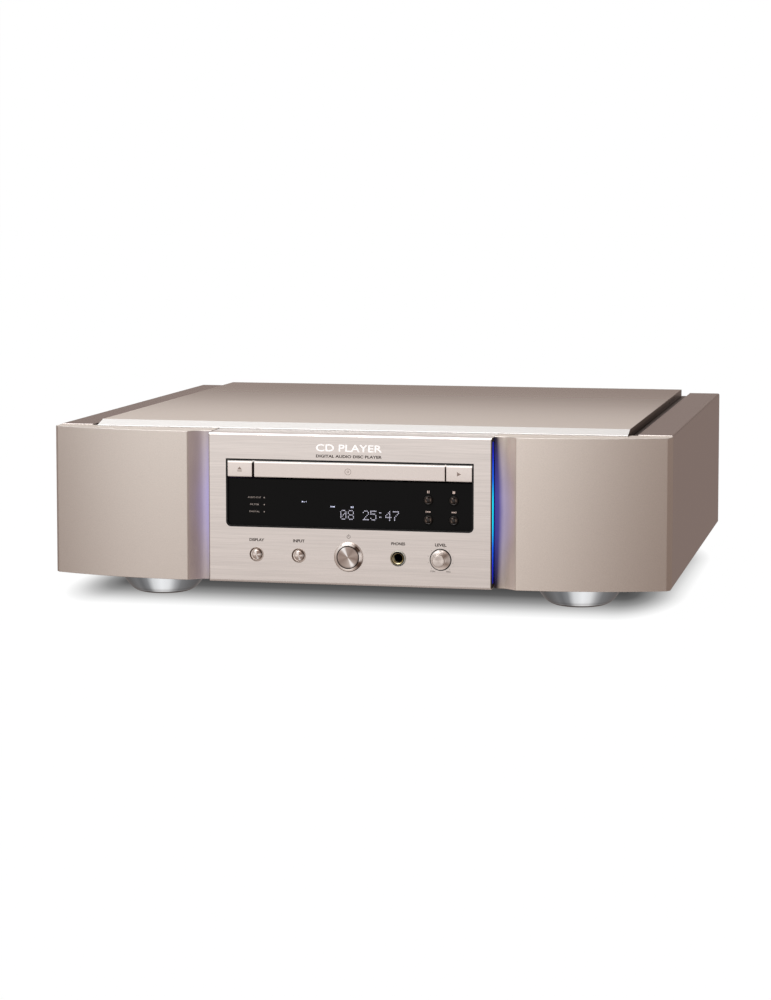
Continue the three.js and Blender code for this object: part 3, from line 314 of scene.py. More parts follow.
def fanned(name, roughness, centre, stops, painted_glow, anisotropic=0.5):
    """Turned metal with fine rings, and painted highlights and painted reflections in wedges round its
    centre, shown as base colour and as glow.
    """
    look = Look(name, (220, 210, 202), roughness, 1.0, Anisotropic=anisotropic)
    look.ringed("Y")
    # Painted highlights and reflections round the centre.
    fan = look.ramp(look.around(centre), stops)
    look.shine(fan, painted_glow)
    cloud = look.noise(look.place, 500, 3)
    look.paint(look.multiply(fan, look.ramp(cloud, [(0.3, 244), (0.7, 255)])))
    look.roughen(cloud, roughness - 0.03, roughness + 0.05)
    look.bump(look.noise(look.place, 3000, 2), 0.00001, 0.2)


def plated(name, color, roughness):
    look = Look(name, color, roughness, 1.0)
    wear = look.noise(look.place, 300, 4, 0.6)
    look.tint(wear, 0.92, 1.04)
    look.roughen(wear, roughness - 0.04, roughness + 0.1)
    look.bump(look.noise(look.stretched(60, 60, 2400), 1, 2), 0.00002, 0.3)


def ink(name, color, glow=0.0):
    """Printed or lit marks, a little uneven as screen print is. The display's marks glow with their own
    light; the glow on printed marks is painted light.
    """
    look = Look(name, color, 0.5)
    look.tint(look.noise(look.place, 900, 2), 0.93, 1.04)
    if glow:
        look.shine(look.color, glow)


def smoked_glass():
    look = Look("smoked_glass", 17, 0.22)
    look.put("Specular IOR Level", 0.06)
    look.tint(look.noise(look.place, 25, 2), 0.94, 1.06)
    look.roughen(look.noise(look.place, 45, 3), 0.13, 0.2)


def cover_metal():
    """The cover's blasted sheet, whose grain opens a little towards its front edge. Painted tones: the front
    bevel lighter and cooler than the flat top, painted shade on the low edges, and darker painted shade on
    the outer side edges.
    """
    look = Look("cover_gold", (245, 243, 241), 0.4, 1.0)
    speckled = look.speckle(look.blast_grain(0.0001, 0.12), 0.96, 1.04)
    # Painted shade on the outer side edges, in the gap beside the side panels.
    edge = look.spread(look.across(), 0, 1, 0.1896, 0.1899)
    depth = look.along("Y")
    # Painted tone: the front bevel lighter and cooler than the flat top.
    flat = look.spread(depth, 0, 1, -0.1620, -0.1612)
    # Painted shade on the cover's low edges.
    low = look.spread(look.height(), 1, 0, 0.1236, 0.1241)
    toned = look.multiply(speckled, look.ramp(flat, [(0.0, (245, 246, 245)), (1.0, (236, 228, 220))]))
    toned = look.multiply(toned, look.fade(low, (222, 222, 224)))
    look.paint(look.multiply(toned, look.fade(edge, (134, 128, 124))))
    span = {"Value": depth, "From Min": -0.165, "From Max": 0.17, "To Min": 0.46, "To Max": 0.24}
    look.put(
        "Roughness", look.node("ShaderNodeMapRange", span, interpolation_type="SMOOTHSTEP").outputs[0]
    )


def side_metal():
    """The side panels' blasted metal, smoother on their narrow top faces, with painted shade: a darker band
    on the top chamfer, slightly darker top faces and darker inner faces.
    """
    look = Look("side_gold", (224, 216, 213), 0.3, 1.0)
    top = look.rise(0.1232, 0.1234)
    edge = look.rise(0.1224, 0.1236)
    grain = look.blast_grain(strength=look.spread(top, 0.5, 0.05, 0, 1))
    # Painted shade on the top chamfer, and a slightly darker top face.
    banded = look.ramp(
        edge, [(0.0, 255), (0.2, (233, 231, 229)), (0.7, (233, 231, 229)), (0.88, (250, 248, 246))]
    )
    # Painted shade on the inner faces, under the cover.
    inner = look.spread(look.across(), 0, 1, 0.1956, 0.1959)
    shaded_inside = look.ramp(inner, [(0.0, (120, 114, 110)), (1.0, 255)])
    toned = look.multiply(look.speckle(grain, 0.955, 1.045), banded)
    look.paint(look.multiply(toned, shaded_inside))
    look.roughen(top, 0.3, 0.2, 0, 1)


def bar_metal():
    """The drawer front and the buttons beside it: blasted, with a painted highlight glowing along their
    upper bevels and painted black shade above them.
    """
    look = Look("bar_gold", (240, 232, 226), 0.34, 1.0)
    # Painted shade: black above the upper bevels.
    black = look.fade(look.rise(0.1032, 0.1035), (34, 28, 25))
    look.paint(look.multiply(look.speckle(look.blast_grain(), 0.955, 1.045), black))
    # Painted highlight: the upper bevels glow.
    bevel = look.spread(look.height(), 0, 0.55, 0.1018, 0.1024)
    look.shine(look.multiply(srgb((255, 250, 246)), black), bevel)


def foot_metal():
    """Spun silver with painted highlights in wedges, alike on all four feet, shown as base colour and as
    glow, and a painted dark ring round the base.
    """
    look = Look("foot_silver", (206, 208, 210), 0.24, 1.0, Anisotropic=0.4)
    look.ringed("Z")
    x, front, _ = (c * MM for c in middle("front_right_foot"))
    rear = middle("rear_right_foot")[1] * MM
    offset = look.vector("SUBTRACT", look.stretched(1, 1, 0), (0, (front + rear) / 2, 0))
    mirrored = look.vector("SUBTRACT", look.vector("ABSOLUTE", offset), (x, (rear - front) / 2, 0))
    local = look.vector("MULTIPLY", mirrored, look.vector("SIGN", offset))
    # Painted shade: a dark ring round the base, with a painted bright arc above it.
    low = look.ramp(
        look.rise(0, 0.005),
        [(0.36, 84), (0.44, 104), (0.5, 255), (0.6, 255), (0.72, 226), (1.0, 255)],
    )
    # Painted highlights in wedges, shown as base colour and as glow.
    painted = look.multiply(look.ramp(look.turn(local), FOOT_FAN), low)
    look.paint(look.multiply(painted, (0.42, 0.46, 0.49, 1)))
    look.shine(painted, 0.66)
    look.roughen(look.noise(look.place, 420, 3), 0.22, 0.28)
    look.bump(look.noise(look.place, 3000, 2), 0.00001, 0.2)


def guide_light():
    """The light guides: cyan at mid height, through blue, to nearly nothing at their ends."""
    look = Look("guide_light", (16, 18, 40), 0.3)
    share = look.rise(*GUIDE_SPAN)
    wave = look.spread(look.noise(look.place, 120, 2), -0.01, 0.01)
    colour = look.ramp(
        look.maths("ADD", share, wave),
        [
            (0.0, (14, 20, 120)), (0.12, (16, 34, 200)), (0.26, (6, 100, 245)), (0.42, (0, 220, 252)),
            (0.57, (0, 232, 255)), (0.74, (6, 104, 245)), (0.9, (16, 40, 210)), (1.0, (14, 22, 140)),
        ],
    )
    look.paint(colour)
    look.shine(colour, 1.0)


def circuit():
    """Solder mask over traces near the board's face, and dark moulded or metal parts above it."""
    look = Look("circuit", (18, 88, 52), 0.35)
    plan = look.stretched(1, 1, 0)
    traces = {
        "Vector": plan, "Color1": srgb((16, 78, 46)), "Color2": srgb((20, 92, 55)),
        "Mortar": srgb((52, 132, 84)), "Scale": 90.0, "Mortar Size": 0.035,
        "Brick Width": 1.1, "Row Height": 0.24,
    }
    lanes = look.node("ShaderNodeTexBrick", traces).outputs
    holes = look.node("ShaderNodeTexVoronoi", {"Vector": plan, "Scale": 210}, feature="F1")
    pad = look.maths("LESS_THAN", holes.outputs["Distance"], 0.16)
    face = {0: pad, 6: lanes["Color"], 7: srgb((196, 190, 176))}
    cells = look.node("ShaderNodeTexVoronoi", {"Vector": plan, "Scale": 30}, feature="F1")
    tone = look.node("ShaderNodeSeparateColor", {"Color": cells.outputs["Color"]}).outputs[1]
    parts = {
        0: look.maths("GREATER_THAN", look.height(), BOARD_FACE),
        6: look.node("ShaderNodeMix", face, data_type="RGBA").outputs[2],
        7: look.ramp(
            tone, [(0.2, (26, 26, 30)), (0.45, (40, 44, 92)), (0.62, (128, 92, 40)), (0.8, (34, 34, 38))]
        ),
    }
    look.paint(look.node("ShaderNodeMix", parts, data_type="RGBA").outputs[2])
    look.bump(lanes["Fac"], 0.00004, 0.4)

def middle(node):
    low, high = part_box(node)
    return [c / MM for c in (low + high) / 2]


GUIDE_SPAN = [corner.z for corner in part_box("right_light_guide")]
BOARD_FACE = 0.0338
POWER, LEVEL, PHONES = (middle(node)[::2] for node in ("power_bezel", "level_knob", "phones_jack"))
DOMED = {body: middle(f"{body}_button")[::2] for body in ("display", "input")}
SMALL = {body: middle(f"{body}_button")[::2] for body in ("pause", "stop", "previous", "next")}
# Painted highlights and painted reflections: tones round each centre for the turned parts, and round each
# foot for FOOT_FAN; GLINT_FAN paints the small buttons' glints.
FACE_FAN = [
    (0.0, (164, 148, 139)), (0.08, (148, 132, 123)), (0.2, (174, 160, 151)), (0.285, (196, 184, 176)),
    (0.316, (250, 247, 244)), (0.344, (255, 253, 251)), (0.385, (178, 164, 155)),
    (0.47, (140, 123, 114)), (0.56, (176, 161, 152)),
    (0.66, (150, 134, 125)), (0.74, (166, 152, 144)), (0.78, (176, 162, 154)), (0.812, (252, 250, 248)),
    (0.842, (255, 254, 252)), (0.88, (182, 168, 160)), (0.93, (152, 136, 127)), (1.0, (164, 148, 139)),
]
CONE_FAN = [
    (0.0, (196, 184, 176)), (0.1, (180, 166, 157)), (0.2, (212, 203, 196)), (0.3, (214, 204, 197)),
    (0.35, (164, 148, 138)), (0.39, (88, 69, 59)), (0.44, (98, 79, 69)), (0.475, (240, 232, 227)),
    (0.55, (246, 240, 236)), (0.585, (98, 80, 70)), (0.645, (64, 47, 38)), (0.68, (190, 178, 170)),
    (0.72, (206, 200, 196)), (0.8, (212, 207, 203)), (0.87, (232, 228, 225)), (0.93, (220, 211, 204)),
    (1.0, (196, 184, 176)),
]
DOME_FAN = [
    (0.0, (228, 219, 212)), (0.08, (198, 184, 175)), (0.18, (176, 160, 150)), (0.25, (190, 176, 167)),
    (0.3, (255, 254, 253)), (0.35, (186, 171, 162)), (0.42, (168, 152, 143)), (0.47, (214, 204, 197)),
    (0.51, (244, 238, 234)), (0.56, (158, 140, 130)), (0.65, (142, 124, 114)), (0.72, (168, 152, 143)),
    (0.78, (236, 232, 229)), (0.84, (226, 219, 214)), (0.9, (190, 177, 169)), (1.0, (228, 219, 212)),
]
DISH_FAN = [
    (0.0, (232, 224, 218)), (0.13, (206, 194, 186)), (0.25, (158, 146, 138)), (0.35, (140, 124, 114)),
    (0.42, (92, 74, 64)), (0.5, (66, 50, 42)), (0.6, (58, 43, 36)), (0.67, (86, 68, 58)),
    (0.73, (150, 136, 127)), (0.85, (196, 184, 175)), (1.0, (232, 224, 218)),
]
RIM_FAN = [
    (0.0, (90, 72, 62)), (0.12, (112, 94, 84)), (0.22, (152, 140, 132)), (0.34, (168, 154, 145)),
    (0.5, (196, 183, 174)), (0.62, (196, 184, 175)), (0.75, (166, 153, 144)), (0.86, (118, 100, 89)),
    (1.0, (90, 72, 62)),
]
CONE_RIM_FAN = [
    (0.0, (168, 152, 142)), (0.12, (140, 122, 111)), (0.25, (78, 61, 52)), (0.36, (70, 54, 45)),
    (0.44, (130, 113, 103)), (0.5, (236, 228, 223)), (0.58, (226, 217, 211)), (0.66, (150, 134, 124)),
    (0.74, (232, 226, 221)), (0.86, (236, 230, 226)), (0.94, (206, 194, 186)), (1.0, (168, 152, 142)),
]
JACK_FAN = [
    (0.0, (206, 190, 150)), (0.06, (214, 200, 164)), (0.13, (170, 148, 96)), (0.22, (226, 212, 182)),
    (0.3, (206, 188, 142)), (0.42, (172, 154, 104)), (0.6, (160, 142, 92)), (0.75, (184, 168, 122)),
    (0.9, (172, 152, 102)), (1.0, (206, 190, 150)),
]
FLANGE_FAN = [
    (0.0, (168, 152, 118)), (0.15, (158, 148, 122)), (0.3, (158, 162, 154)), (0.45, (178, 180, 172)),
    (0.6, (190, 188, 178)), (0.7, (140, 138, 130)), (0.8, (140, 136, 124)), (0.9, (186, 178, 160)),
    (1.0, (168, 152, 118)),
]
GLINT_FAN = [
    (0.0, (92, 80, 72)), (0.1, (120, 106, 97)), (0.17, (60, 50, 44)), (0.24, (26, 21, 18)),
    (0.38, (34, 28, 24)), (0.5, (112, 99, 90)), (0.6, (96, 84, 76)), (0.66, (26, 21, 18)),
    (0.76, (34, 28, 24)), (0.84, (158, 146, 138)), (0.9, (52, 43, 38)), (1.0, (92, 80, 72)),
]
FOOT_FAN = [
    (0.0, (104, 104, 105)), (0.06, (96, 96, 97)), (0.105, (84, 85, 86)), (0.136, (100, 101, 102)),
    (0.175, (124, 125, 127)), (0.2, (112, 113, 115)), (0.226, (136, 137, 139)), (0.25, (214, 215, 216)),
    (0.283, (240, 241, 242)), (0.315, (230, 231, 232)), (0.342, (172, 173, 175)), (0.366, (132, 133, 135)),
    (0.406, (112, 113, 115)), (0.461, (86, 87, 89)), (0.55, (108, 109, 110)), (0.64, (126, 127, 128)),
    (0.69, (118, 119, 120)), (0.73, (214, 215, 216)), (0.77, (238, 239, 240)), (0.82, (150, 151, 152)),
    (0.9, (92, 93, 94)), (1.0, (104, 104, 105)),
]
KNOB_FAN = [
    (0.0, (216, 206, 199)), (0.2, (216, 206, 199)), (0.33, (202, 190, 182)), (0.42, (166, 150, 140)),
    (0.49, (214, 204, 198)), (0.54, (206, 196, 189)), (0.6, (144, 128, 119)), (0.66, (150, 136, 128)),
    (0.72, (172, 163, 157)), (0.8, (186, 180, 176)), (0.9, (206, 199, 194)), (1.0, (220, 211, 204)),
]

# How far the painted glow reaches out over each hollow, from its foot to its top.
LEFT_LENS = [(0.0, 220), (0.5, 255), (1.0, 220)]
RIGHT_LENS = [(0.0, 196), (0.12, 216), (0.35, 246), (0.5, 255), (0.7, 242), (0.88, 208), (1.0, 182)]

blasted("blasted_gold", (234, 229, 224), 0.48)
# Each wing's hollow has its own painted glow, painted shade next to the slot and painted light across it.
painted_glow_scoop(
    "left_wing_gold", (238, 231, 223),
    [
        (0.0, (70, 70, 160)), (0.2, (64, 62, 152)), (0.45, (58, 54, 116)),
        (0.75, (58, 50, 70)), (1.0, (40, 34, 40)),
    ],
    [(0.0, (196, 196, 200)), (0.5, (228, 224, 224)), (1.0, (255, 252, 250))],
    LEFT_LENS,
    [(0.0, (24, 20, 44)), (0.5, (52, 48, 70)), (1.0, (84, 78, 80))],
)
painted_glow_scoop(
    "right_wing_gold", (242, 234, 225),
    [
        (0.0, (56, 56, 150)), (0.2, (60, 58, 144)), (0.4, (96, 92, 148)), (0.6, (92, 86, 128)),
        (0.85, (76, 62, 80)), (1.0, (30, 22, 26)),
    ],
    [(0.0, (58, 55, 56)), (0.2, (84, 79, 80)), (0.45, (206, 202, 200)), (1.0, (254, 252, 250))],
    RIGHT_LENS,
    [
        (0.0, (10, 8, 6)), (0.3, (30, 27, 24)), (0.5, (76, 71, 67)), (0.75, (132, 122, 118)),
        (1.0, (136, 126, 122)),
    ],
)
side_metal()
brushed("panel_gold", (240, 234, 229))
bar_metal()
cover_metal()
spun("knob_gold", (226, 217, 210), 0.36)
# Painted highlights, reflections and glints, with painted glow, on the power button and bezel, the domed
# buttons, the headphone bush, the level knob and the small buttons.
fanned("power_fan", 0.3, POWER, FACE_FAN, 0.1)
fanned("bezel_fan", 0.3, POWER, CONE_FAN, 0.42, anisotropic=0.2)
fanned("bezel_rim_fan", 0.3, POWER, CONE_RIM_FAN, 0.25, anisotropic=0.2)
for body, at in DOMED.items():
    fanned(f"{body}_fan", 0.3, at, DOME_FAN, 0.22)
    fanned(f"{body}_dish_fan", 0.4, at, DISH_FAN, 0.42)
    fanned(f"{body}_rim_fan", 0.4, at, RIM_FAN, 0.12)
fanned("jack_fan", 0.3, PHONES, JACK_FAN, 0.25)
fanned("flange_fan", 0.34, PHONES, FLANGE_FAN, 0.2)
fanned("level_fan", 0.42, LEVEL, KNOB_FAN, 0.34)
for body, at in SMALL.items():
    fanned(f"{body}_fan", 0.35, at, GLINT_FAN, 0.06)
moulded("button_black", (30, 25, 22), 0.4, 0.00003)
foot_metal()
zinc("steel", (186, 189, 192))
plated("bright_steel", 214, 0.22)
brushed("copper", (214, 148, 112), 0.36, (700, 9, 700))
plated("gold_plate", (232, 190, 112), 0.2)
moulded("black_plastic", (26, 26, 27), 0.5)
moulded("grey_plastic", (92, 94, 97), 0.5)
moulded("white_plastic", (222, 220, 212), 0.42, 0.00004)
moulded("rubber", 20, 0.86, 0.00015)
moulded("red_plastic", (176, 30, 30), 0.4, 0.00004)
moulded("orange_plastic", (214, 112, 24), 0.4, 0.00004)
moulded("lens_glass", (40, 48, 92), 0.12, 0.00001)
smoked_glass()
guide_light()
circuit()
ink("dark_ink", (58, 46, 40))
# Painted glow on the pale and white prints.
ink("pale_ink", (196, 178, 168), 0.25)
ink("white_ink", (252, 251, 250), 0.35)
ink("digit_light", (188, 188, 204), 0.8)
ink("lamp_light", (200, 206, 232), 0.75)
ink("dim_ink", (150, 140, 134), 0.4)
ink("soft_ink", (150, 134, 124))
# Black for painted shade in holes, gaps and recesses.
moulded("shade_black", 7, 0.8)


def finish(material, *nodes):
    for name in nodes:
        data = NODES[name].data
        data.materials.clear()
        data.materials.append(MATERIALS[material])


def soften(width, *nodes, angle=32):
    """Rounds a CAD node's edges with modifiers, leaving its mesh alone."""
    for name in nodes:
        node = NODES[name]
        for face in node.data.polygons:
            face.use_smooth = True
        weld = node.modifiers.new("weld", "WELD")
        weld.merge_threshold = 2e-6
        flat = node.modifiers.new("flat", "DECIMATE")
        flat.decimate_type = "DISSOLVE"
        flat.angle_limit = math.radians(0.4)
        bevel = node.modifiers.new("bevel", "BEVEL")
        bevel.width = width * MM
        bevel.segments = 2
        bevel.limit_method = "ANGLE"
        bevel.angle_limit = math.radians(angle)
        even = node.modifiers.new("even", "WEIGHTED_NORMAL")
        even.mode = "FACE_AREA"
        even.weight = 100
        even.thresh = 0.001


WINGS = ["left_front_wing", "right_front_wing"]
SIDES = ["left_side_panel", "right_side_panel"]
GUIDES = ["left_light_guide", "right_light_guide"]
BARS = ["tray_door", "eject_button", "play_button"]
finish("blasted_gold", "rear_panel")
finish("left_wing_gold", "left_front_wing")
finish("right_wing_gold", "right_front_wing")
for guide in GUIDES:
    NODES[guide].visible_diffuse = False
    NODES[guide].visible_glossy = False
finish("side_gold", *SIDES)
finish("cover_gold", "top_cover")
finish("panel_gold", "front_centre_panel")
finish("bar_gold", *BARS)
finish("smoked_glass", "display_window")
finish("guide_light", *GUIDES)
finish("copper", "base_chassis", "bottom_plate", "transformer")
finish("steel", "front_subpanel", "level_pot", "loading_motor", "traverse_frame", "clamp_arm")
finish("steel", "spindle_motor", "sled_motor")
finish("bright_steel", "sled_rail", "balanced_sockets")
finish("gold_plate", "phono_sockets")
# The headphone jack is painted black all over: painted shade for its bore.
finish("shade_black", "phones_jack")
finish("circuit", "power_supply_board", "main_board", "analogue_board", "front_button_board")
finish("grey_plastic", "display_module", "pickup_sled")
finish("white_plastic", "tray_gear", "motor_pulley", "lead_screw")
finish("black_plastic", "disc_tray", "loader_frame", "turntable", "disc_clamp")
finish("black_plastic", "digital_sockets", "ac_inlet")
finish("rubber", "drive_belt")
soften(0.35, *WINGS, *SIDES)
soften(0.3, "top_cover", angle=8)
soften(0.3, "front_centre_panel", *BARS)
soften(0.2, "rear_panel", "bottom_plate", "front_subpanel", "base_chassis", "display_window")
soften(0.25, "disc_tray", "loader_frame", "clamp_arm", "traverse_frame", "pickup_sled")
soften(0.3, "balanced_sockets", "digital_sockets", "ac_inlet", "phono_sockets")
soften(0.15, "turntable", "disc_clamp", "tray_gear", "motor_pulley", "transformer")


# ---------------------------------------------------------------- pieces
def put(name, data, body, look, replaces=()):
    piece = bpy.data.objects.new(name, data)
    scene.collection.objects.link(piece)
    data.materials.append(MATERIALS[look])
    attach(piece, body)
    if replaces:
        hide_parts(*replaces)


def mesh_from(name, points, faces, smooth=None):
    """A mesh from points in millimetres, shaded smooth up to an angle in degrees."""
    data = bpy.data.meshes.new(name)
    data.from_pydata([[c * MM for c in p] for p in points], [], faces)
    made = bmesh.new()
    made.from_mesh(data)
    bmesh.ops.recalc_face_normals(made, faces=made.faces)
    made.to_mesh(data)
    made.free()
    if smooth is not None:
        data.shade_smooth()
        data.set_sharp_from_angle(angle=math.radians(smooth))
    return data


def turned(profile, at, axis="Y", steps=96):
    """Points and faces of a turned solid. The profile is [radius, place along the axis] pairs, closed."""
    points, faces, rings = [], [], []
    for radius, along in profile:
        count = 1 if radius == 0 else steps
        rings.append(range(len(points), len(points) + count))
        for step in range(count):
            turn = 2 * math.pi * step / steps
            u, v = radius * math.cos(turn), radius * math.sin(turn)
            points.append(
                (at[0] + u, along, at[1] + v) if axis == "Y" else (at[0] + u, at[1] + v, along)
            )
    for ring, following in zip(rings, rings[1:] + rings[:1]):
        if len(ring) == 1 and len(following) == 1:
            continue
        for step in range(steps):
            ahead = (step + 1) % steps
            corners = [ring[step % len(ring)], ring[ahead % len(ring)]]
            corners += [following[ahead % len(following)], following[step % len(following)]]
            faces.append(list(dict.fromkeys(corners)))
    return points, faces


def lathe(name, body, look, at, profile, axis="Y", steps=96, replaces=(), smooth=28):
    points, faces = turned(profile, at, axis, steps)
    put(name, mesh_from(name, points, faces, smooth), body, look, replaces)


def prism(outline, y0, y1):
    """Points and faces of an outline in X and Z that runs from y0 to y1."""
    n = len(outline)
    points = [(x, y0, z) for x, z in outline] + [(x, y1, z) for x, z in outline]
    faces = [list(range(n)), list(range(2 * n - 1, n - 1, -1))]
    faces += [[i, (i + 1) % n, (i + 1) % n + n, i + n] for i in range(n)]
    return points, faces


def solids(name, parts, look, body="housing", smooth=None):
    """One piece made of closed parts, each given as points and faces."""
    points, faces = [], []
    for some_points, some_faces in parts:
        start = len(points)
        points += some_points
        faces += [[i + start for i in face] for face in some_faces]
    put(name, mesh_from(name, points, faces, smooth), body, look)


def marks(name, body, look, outlines, face, proud=0.06):
    """Flat printed marks, given as outlines in X and Z, just proud of a face."""
    solids(name, [prism(o, face - proud, face + 0.05) for o in outlines], look, body)


def words(name, look, text, x, z, height, width, face, proud=0.05, bold=0.0, turn=0.0):
    """Lettering centred on x and z, with capitals of one height, fitted to a width."""
    data = bpy.data.curves.new(name, "FONT")
    data.body = text
    data.align_x = "CENTER"
    data.align_y = "CENTER"
    data.size = height * MM / 0.7
    data.extrude = proud * MM
    data.offset = bold * MM
    data.resolution_u = 4
    data.materials.append(MATERIALS[look])
    piece = bpy.data.objects.new(name, data)
    scene.collection.objects.link(piece)
    bpy.context.view_layer.update()
    piece.scale = (width * MM / piece.dimensions.x, 1, 1)
    piece.rotation_euler = (math.pi / 2, 0, turn)
    piece.location = (x * MM, face * MM, z * MM)
    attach(piece, "housing")


def rectangle(x, z, width, height):
    w, h = width / 2, height / 2
    return [(x - w, z - h), (x + w, z - h), (x + w, z + h), (x - w, z + h)]


def arc(x, z, radius, start, end, steps):
    turns = [math.radians(start + (end - start) * i / steps) for i in range(steps + 1)]
    return [(x + radius * math.cos(t), z + radius * math.sin(t)) for t in turns]


def stroke(x, z, inner, outer, start, end, steps=20):
    """An arc with a width."""
    return arc(x, z, outer, start, end, steps) + arc(x, z, inner, end, start, steps)


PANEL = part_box("front_centre_panel")[0].y / MM
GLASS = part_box("display_window")[0].y / MM
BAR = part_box("tray_door")[0].y / MM
ROW = POWER[1]


def gap_strip():
    """The cover's front edge lies on a thin strip of the same metal, which closes its gap to the front."""
    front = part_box("top_cover")[0].y / MM
    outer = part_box("top_cover")[1].x / MM
    inner, edge, play = 100.2, 123.28, 0.02
    panel_foot, wing_foot = PANEL_TOP / MM + play, WING_TOP / MM + play
    strips = [rectangle(0, (panel_foot + edge) / 2, 2 * inner, edge - panel_foot)]
    for side in (-1, 1):
        centre = side * (inner + outer) / 2
        strips.append(rectangle(centre, (wing_foot + edge) / 2, outer - inner - 0.6, edge - wing_foot))
    parts = [prism(strip, front + play, front + 4) for strip in strips]
    solids("cover_front_strip", parts, "cover_gold")


def window_gap_shade():
    """A black lining round the window's opening, round the bars and the glass: painted shade for the gap
    there.
    """
    half, low, high, back = 87.65, 57.15, 104.85, -199.5
    outlines = []
    for inset, radius in ((0, 3.6), (1.05, 2.6)):
        right, bottom, top = half - inset, low + inset, high - inset
        corner = arc(-right + radius, bottom + radius, radius, 180, 270, 8)
        corner += [(-x, z) for x, z in reversed(corner)]
        outlines.append([*corner, (right, top), (-right, top)])
    n = len(outlines[0])
    points = [(x, y, z) for y in (PANEL - 0.03, back) for outline in outlines for x, z in outline]
    faces = []
    for i in range(n):
        j = (i + 1) % n
        faces += [[i, j, n + j, n + i], [2 * n + i, 3 * n + i, 3 * n + j, 2 * n + j]]
        faces += [[i, 2 * n + i, 2 * n + j, j], [n + i, n + j, 3 * n + j, 3 * n + i]]
    solids("window_gap_shade", [(points, faces)], "shade_black")


def guide_slot_shades():
    """Black strips on the centre panel's sides, round each light guide: painted shade in the slots."""
    low, high = (end / MM for end in GUIDE_SPAN)
    foot, top, face, back = 19.2, 122, -199.25, -193.1
    slot_shades = []
    for side, thick, front in ((-1, 0.06, -200.4), (1, 0.26, -200.7)):
        x = side * (100.01 + thick / 2)
        slot_shades.append(prism(rectangle(x, 70.4, thick, 102.6), front, face))
        slot_shades.append(prism(rectangle(x, (high + top) / 2 + 0.1, thick, top - high), face, back))
        slot_shades.append(prism(rectangle(x, (low + foot) / 2 - 0.1, thick, low - foot), face, back))
    solids("guide_slot_shades", slot_shades, "shade_black")


gap_strip()
window_gap_shade()
guide_slot_shades()

# Feet: spun bowls on rubber pads, with painted highlights and a painted dark ring round the base.
for place in ("front_left", "front_right", "rear_left", "rear_right"):
    node = f"{place}_foot"
    x, y, _ = middle(node)
    lathe(
        f"{node}_spun", "housing", "foot_silver", (x, y),
        [
            (0, 2.4), (11.3, 2.4), (11.3, 0.6), (11.6, 0.5), (16.1, 0.5), (16.7, 0.6),
            (18.6, 1.05), (20.6, 1.85), (22.3, 2.85), (23.9, 4.2), (25.3, 5.7), (26.7, 7.45),
            (28.0, 9.4), (29.4, 11.4), (30.6, 13.3), (31.4, 14.9), (31.5, 15.5), (31.4, 18.1), (0, 18.1),
        ],
        "Z", 128, [node], 40,
    )
    lathe(
        f"{node}_pad_cut", "housing", "rubber", (x, y),
        [(0, 0), (9.8, 0), (10.6, 0.3), (11, 0.8), (11, 2.1), (0, 2.1)], "Z", 64, [f"{node}_pad"],
    )

# Power: a polished conical bezel round a flat spun button, both with painted highlights, and a black ring of
# painted shade in the gap between them.
lathe(
    "power_ring", "housing", "bezel_fan", POWER,
    [
        (8, -193), (8.8, -193), (8.8, -201.1), (9.7, -201.1), (9.7, -202.5),
        (9.0, -203.6), (8.78, -203.88), (8.5, -204), (8.22, -203.92), (8.02, -203.6),
    ],
    replaces=["power_bezel"],
)
lathe(
    "power_rim", "housing", "bezel_rim_fan", POWER,
    [(9.72, -201.1), (9.72, -202.47), (10.2, -201.7), (10.3, -201.45), (10.3, -201.1)],
)
lathe(
    "power_gap", "housing", "shade_black", POWER,
    [(7.56, -193.2), (7.56, -203.1), (7.98, -203.35), (7.98, -193.2)],
)
lathe(
    "power_face", "power", "power_fan", POWER,
    [
        (0, -203.82), (3, -203.83), (6, -203.87), (6.9, -203.9), (7.25, -203.82), (7.42, -203.62),
        (7.5, -203.3), (7.5, -192), (2.5, -192), (2.5, -179.8), (0, -179.8),
    ],
    replaces=["power_button"],
)

# Display and input: domed spun buttons in turned dishes, with painted highlights on domes, dishes and rims.
for body, at in DOMED.items():
    lathe(
        f"{body}_dome", body, f"{body}_fan", at,
        [
            (0, -201.9), (0.8, -201.88), (1.6, -201.8), (2.3, -201.68), (2.85, -201.5),
            (3.18, -201.25), (3.3, -201.0), (3.3, -195), (1.8, -195), (1.8, -179.8), (0, -179.8),
        ],
        replaces=[f"{body}_button"],
    )
    lathe(
        f"{body}_dish", "housing", f"{body}_dish_fan", at,
        [(3.45, -199.4), (3.5, -200.5), (4.05, -200.8), (4.1, -200.75), (4.1, -199.4)],
    )
    lathe(
        f"{body}_rim", "housing", f"{body}_rim_fan", at,
        [(4.12, -200.2), (4.12, -200.84), (4.8, -201.08), (4.95, -201.1), (5.05, -201.03), (5.05, -200.2)],
    )

# Pause, stop, previous and next: small dark buttons with a dished face, and a ring of painted glints in
# each.
for body, at in SMALL.items():
    lathe(
        f"{body}_cap", body, "button_black", at,
        [
            (0, -199.95), (0.9, -199.9), (1.2, -199.75), (2.1, -199.75), (2.4, -200.1), (2.62, -200.3),
            (2.85, -200.22), (3.1, -199.9), (3.2, -199.5), (3.2, -193.5), (1.8, -193.5),
            (1.8, -179.8), (0, -179.8),
        ],
        steps=64, replaces=[f"{body}_button"],
    )
    lathe(
        f"{body}_glint", body, f"{body}_fan", at,
        [(1.25, -199.76), (1.3, -199.9), (1.95, -200.0), (2.1, -199.95), (2.1, -199.76)], steps=64,
    )

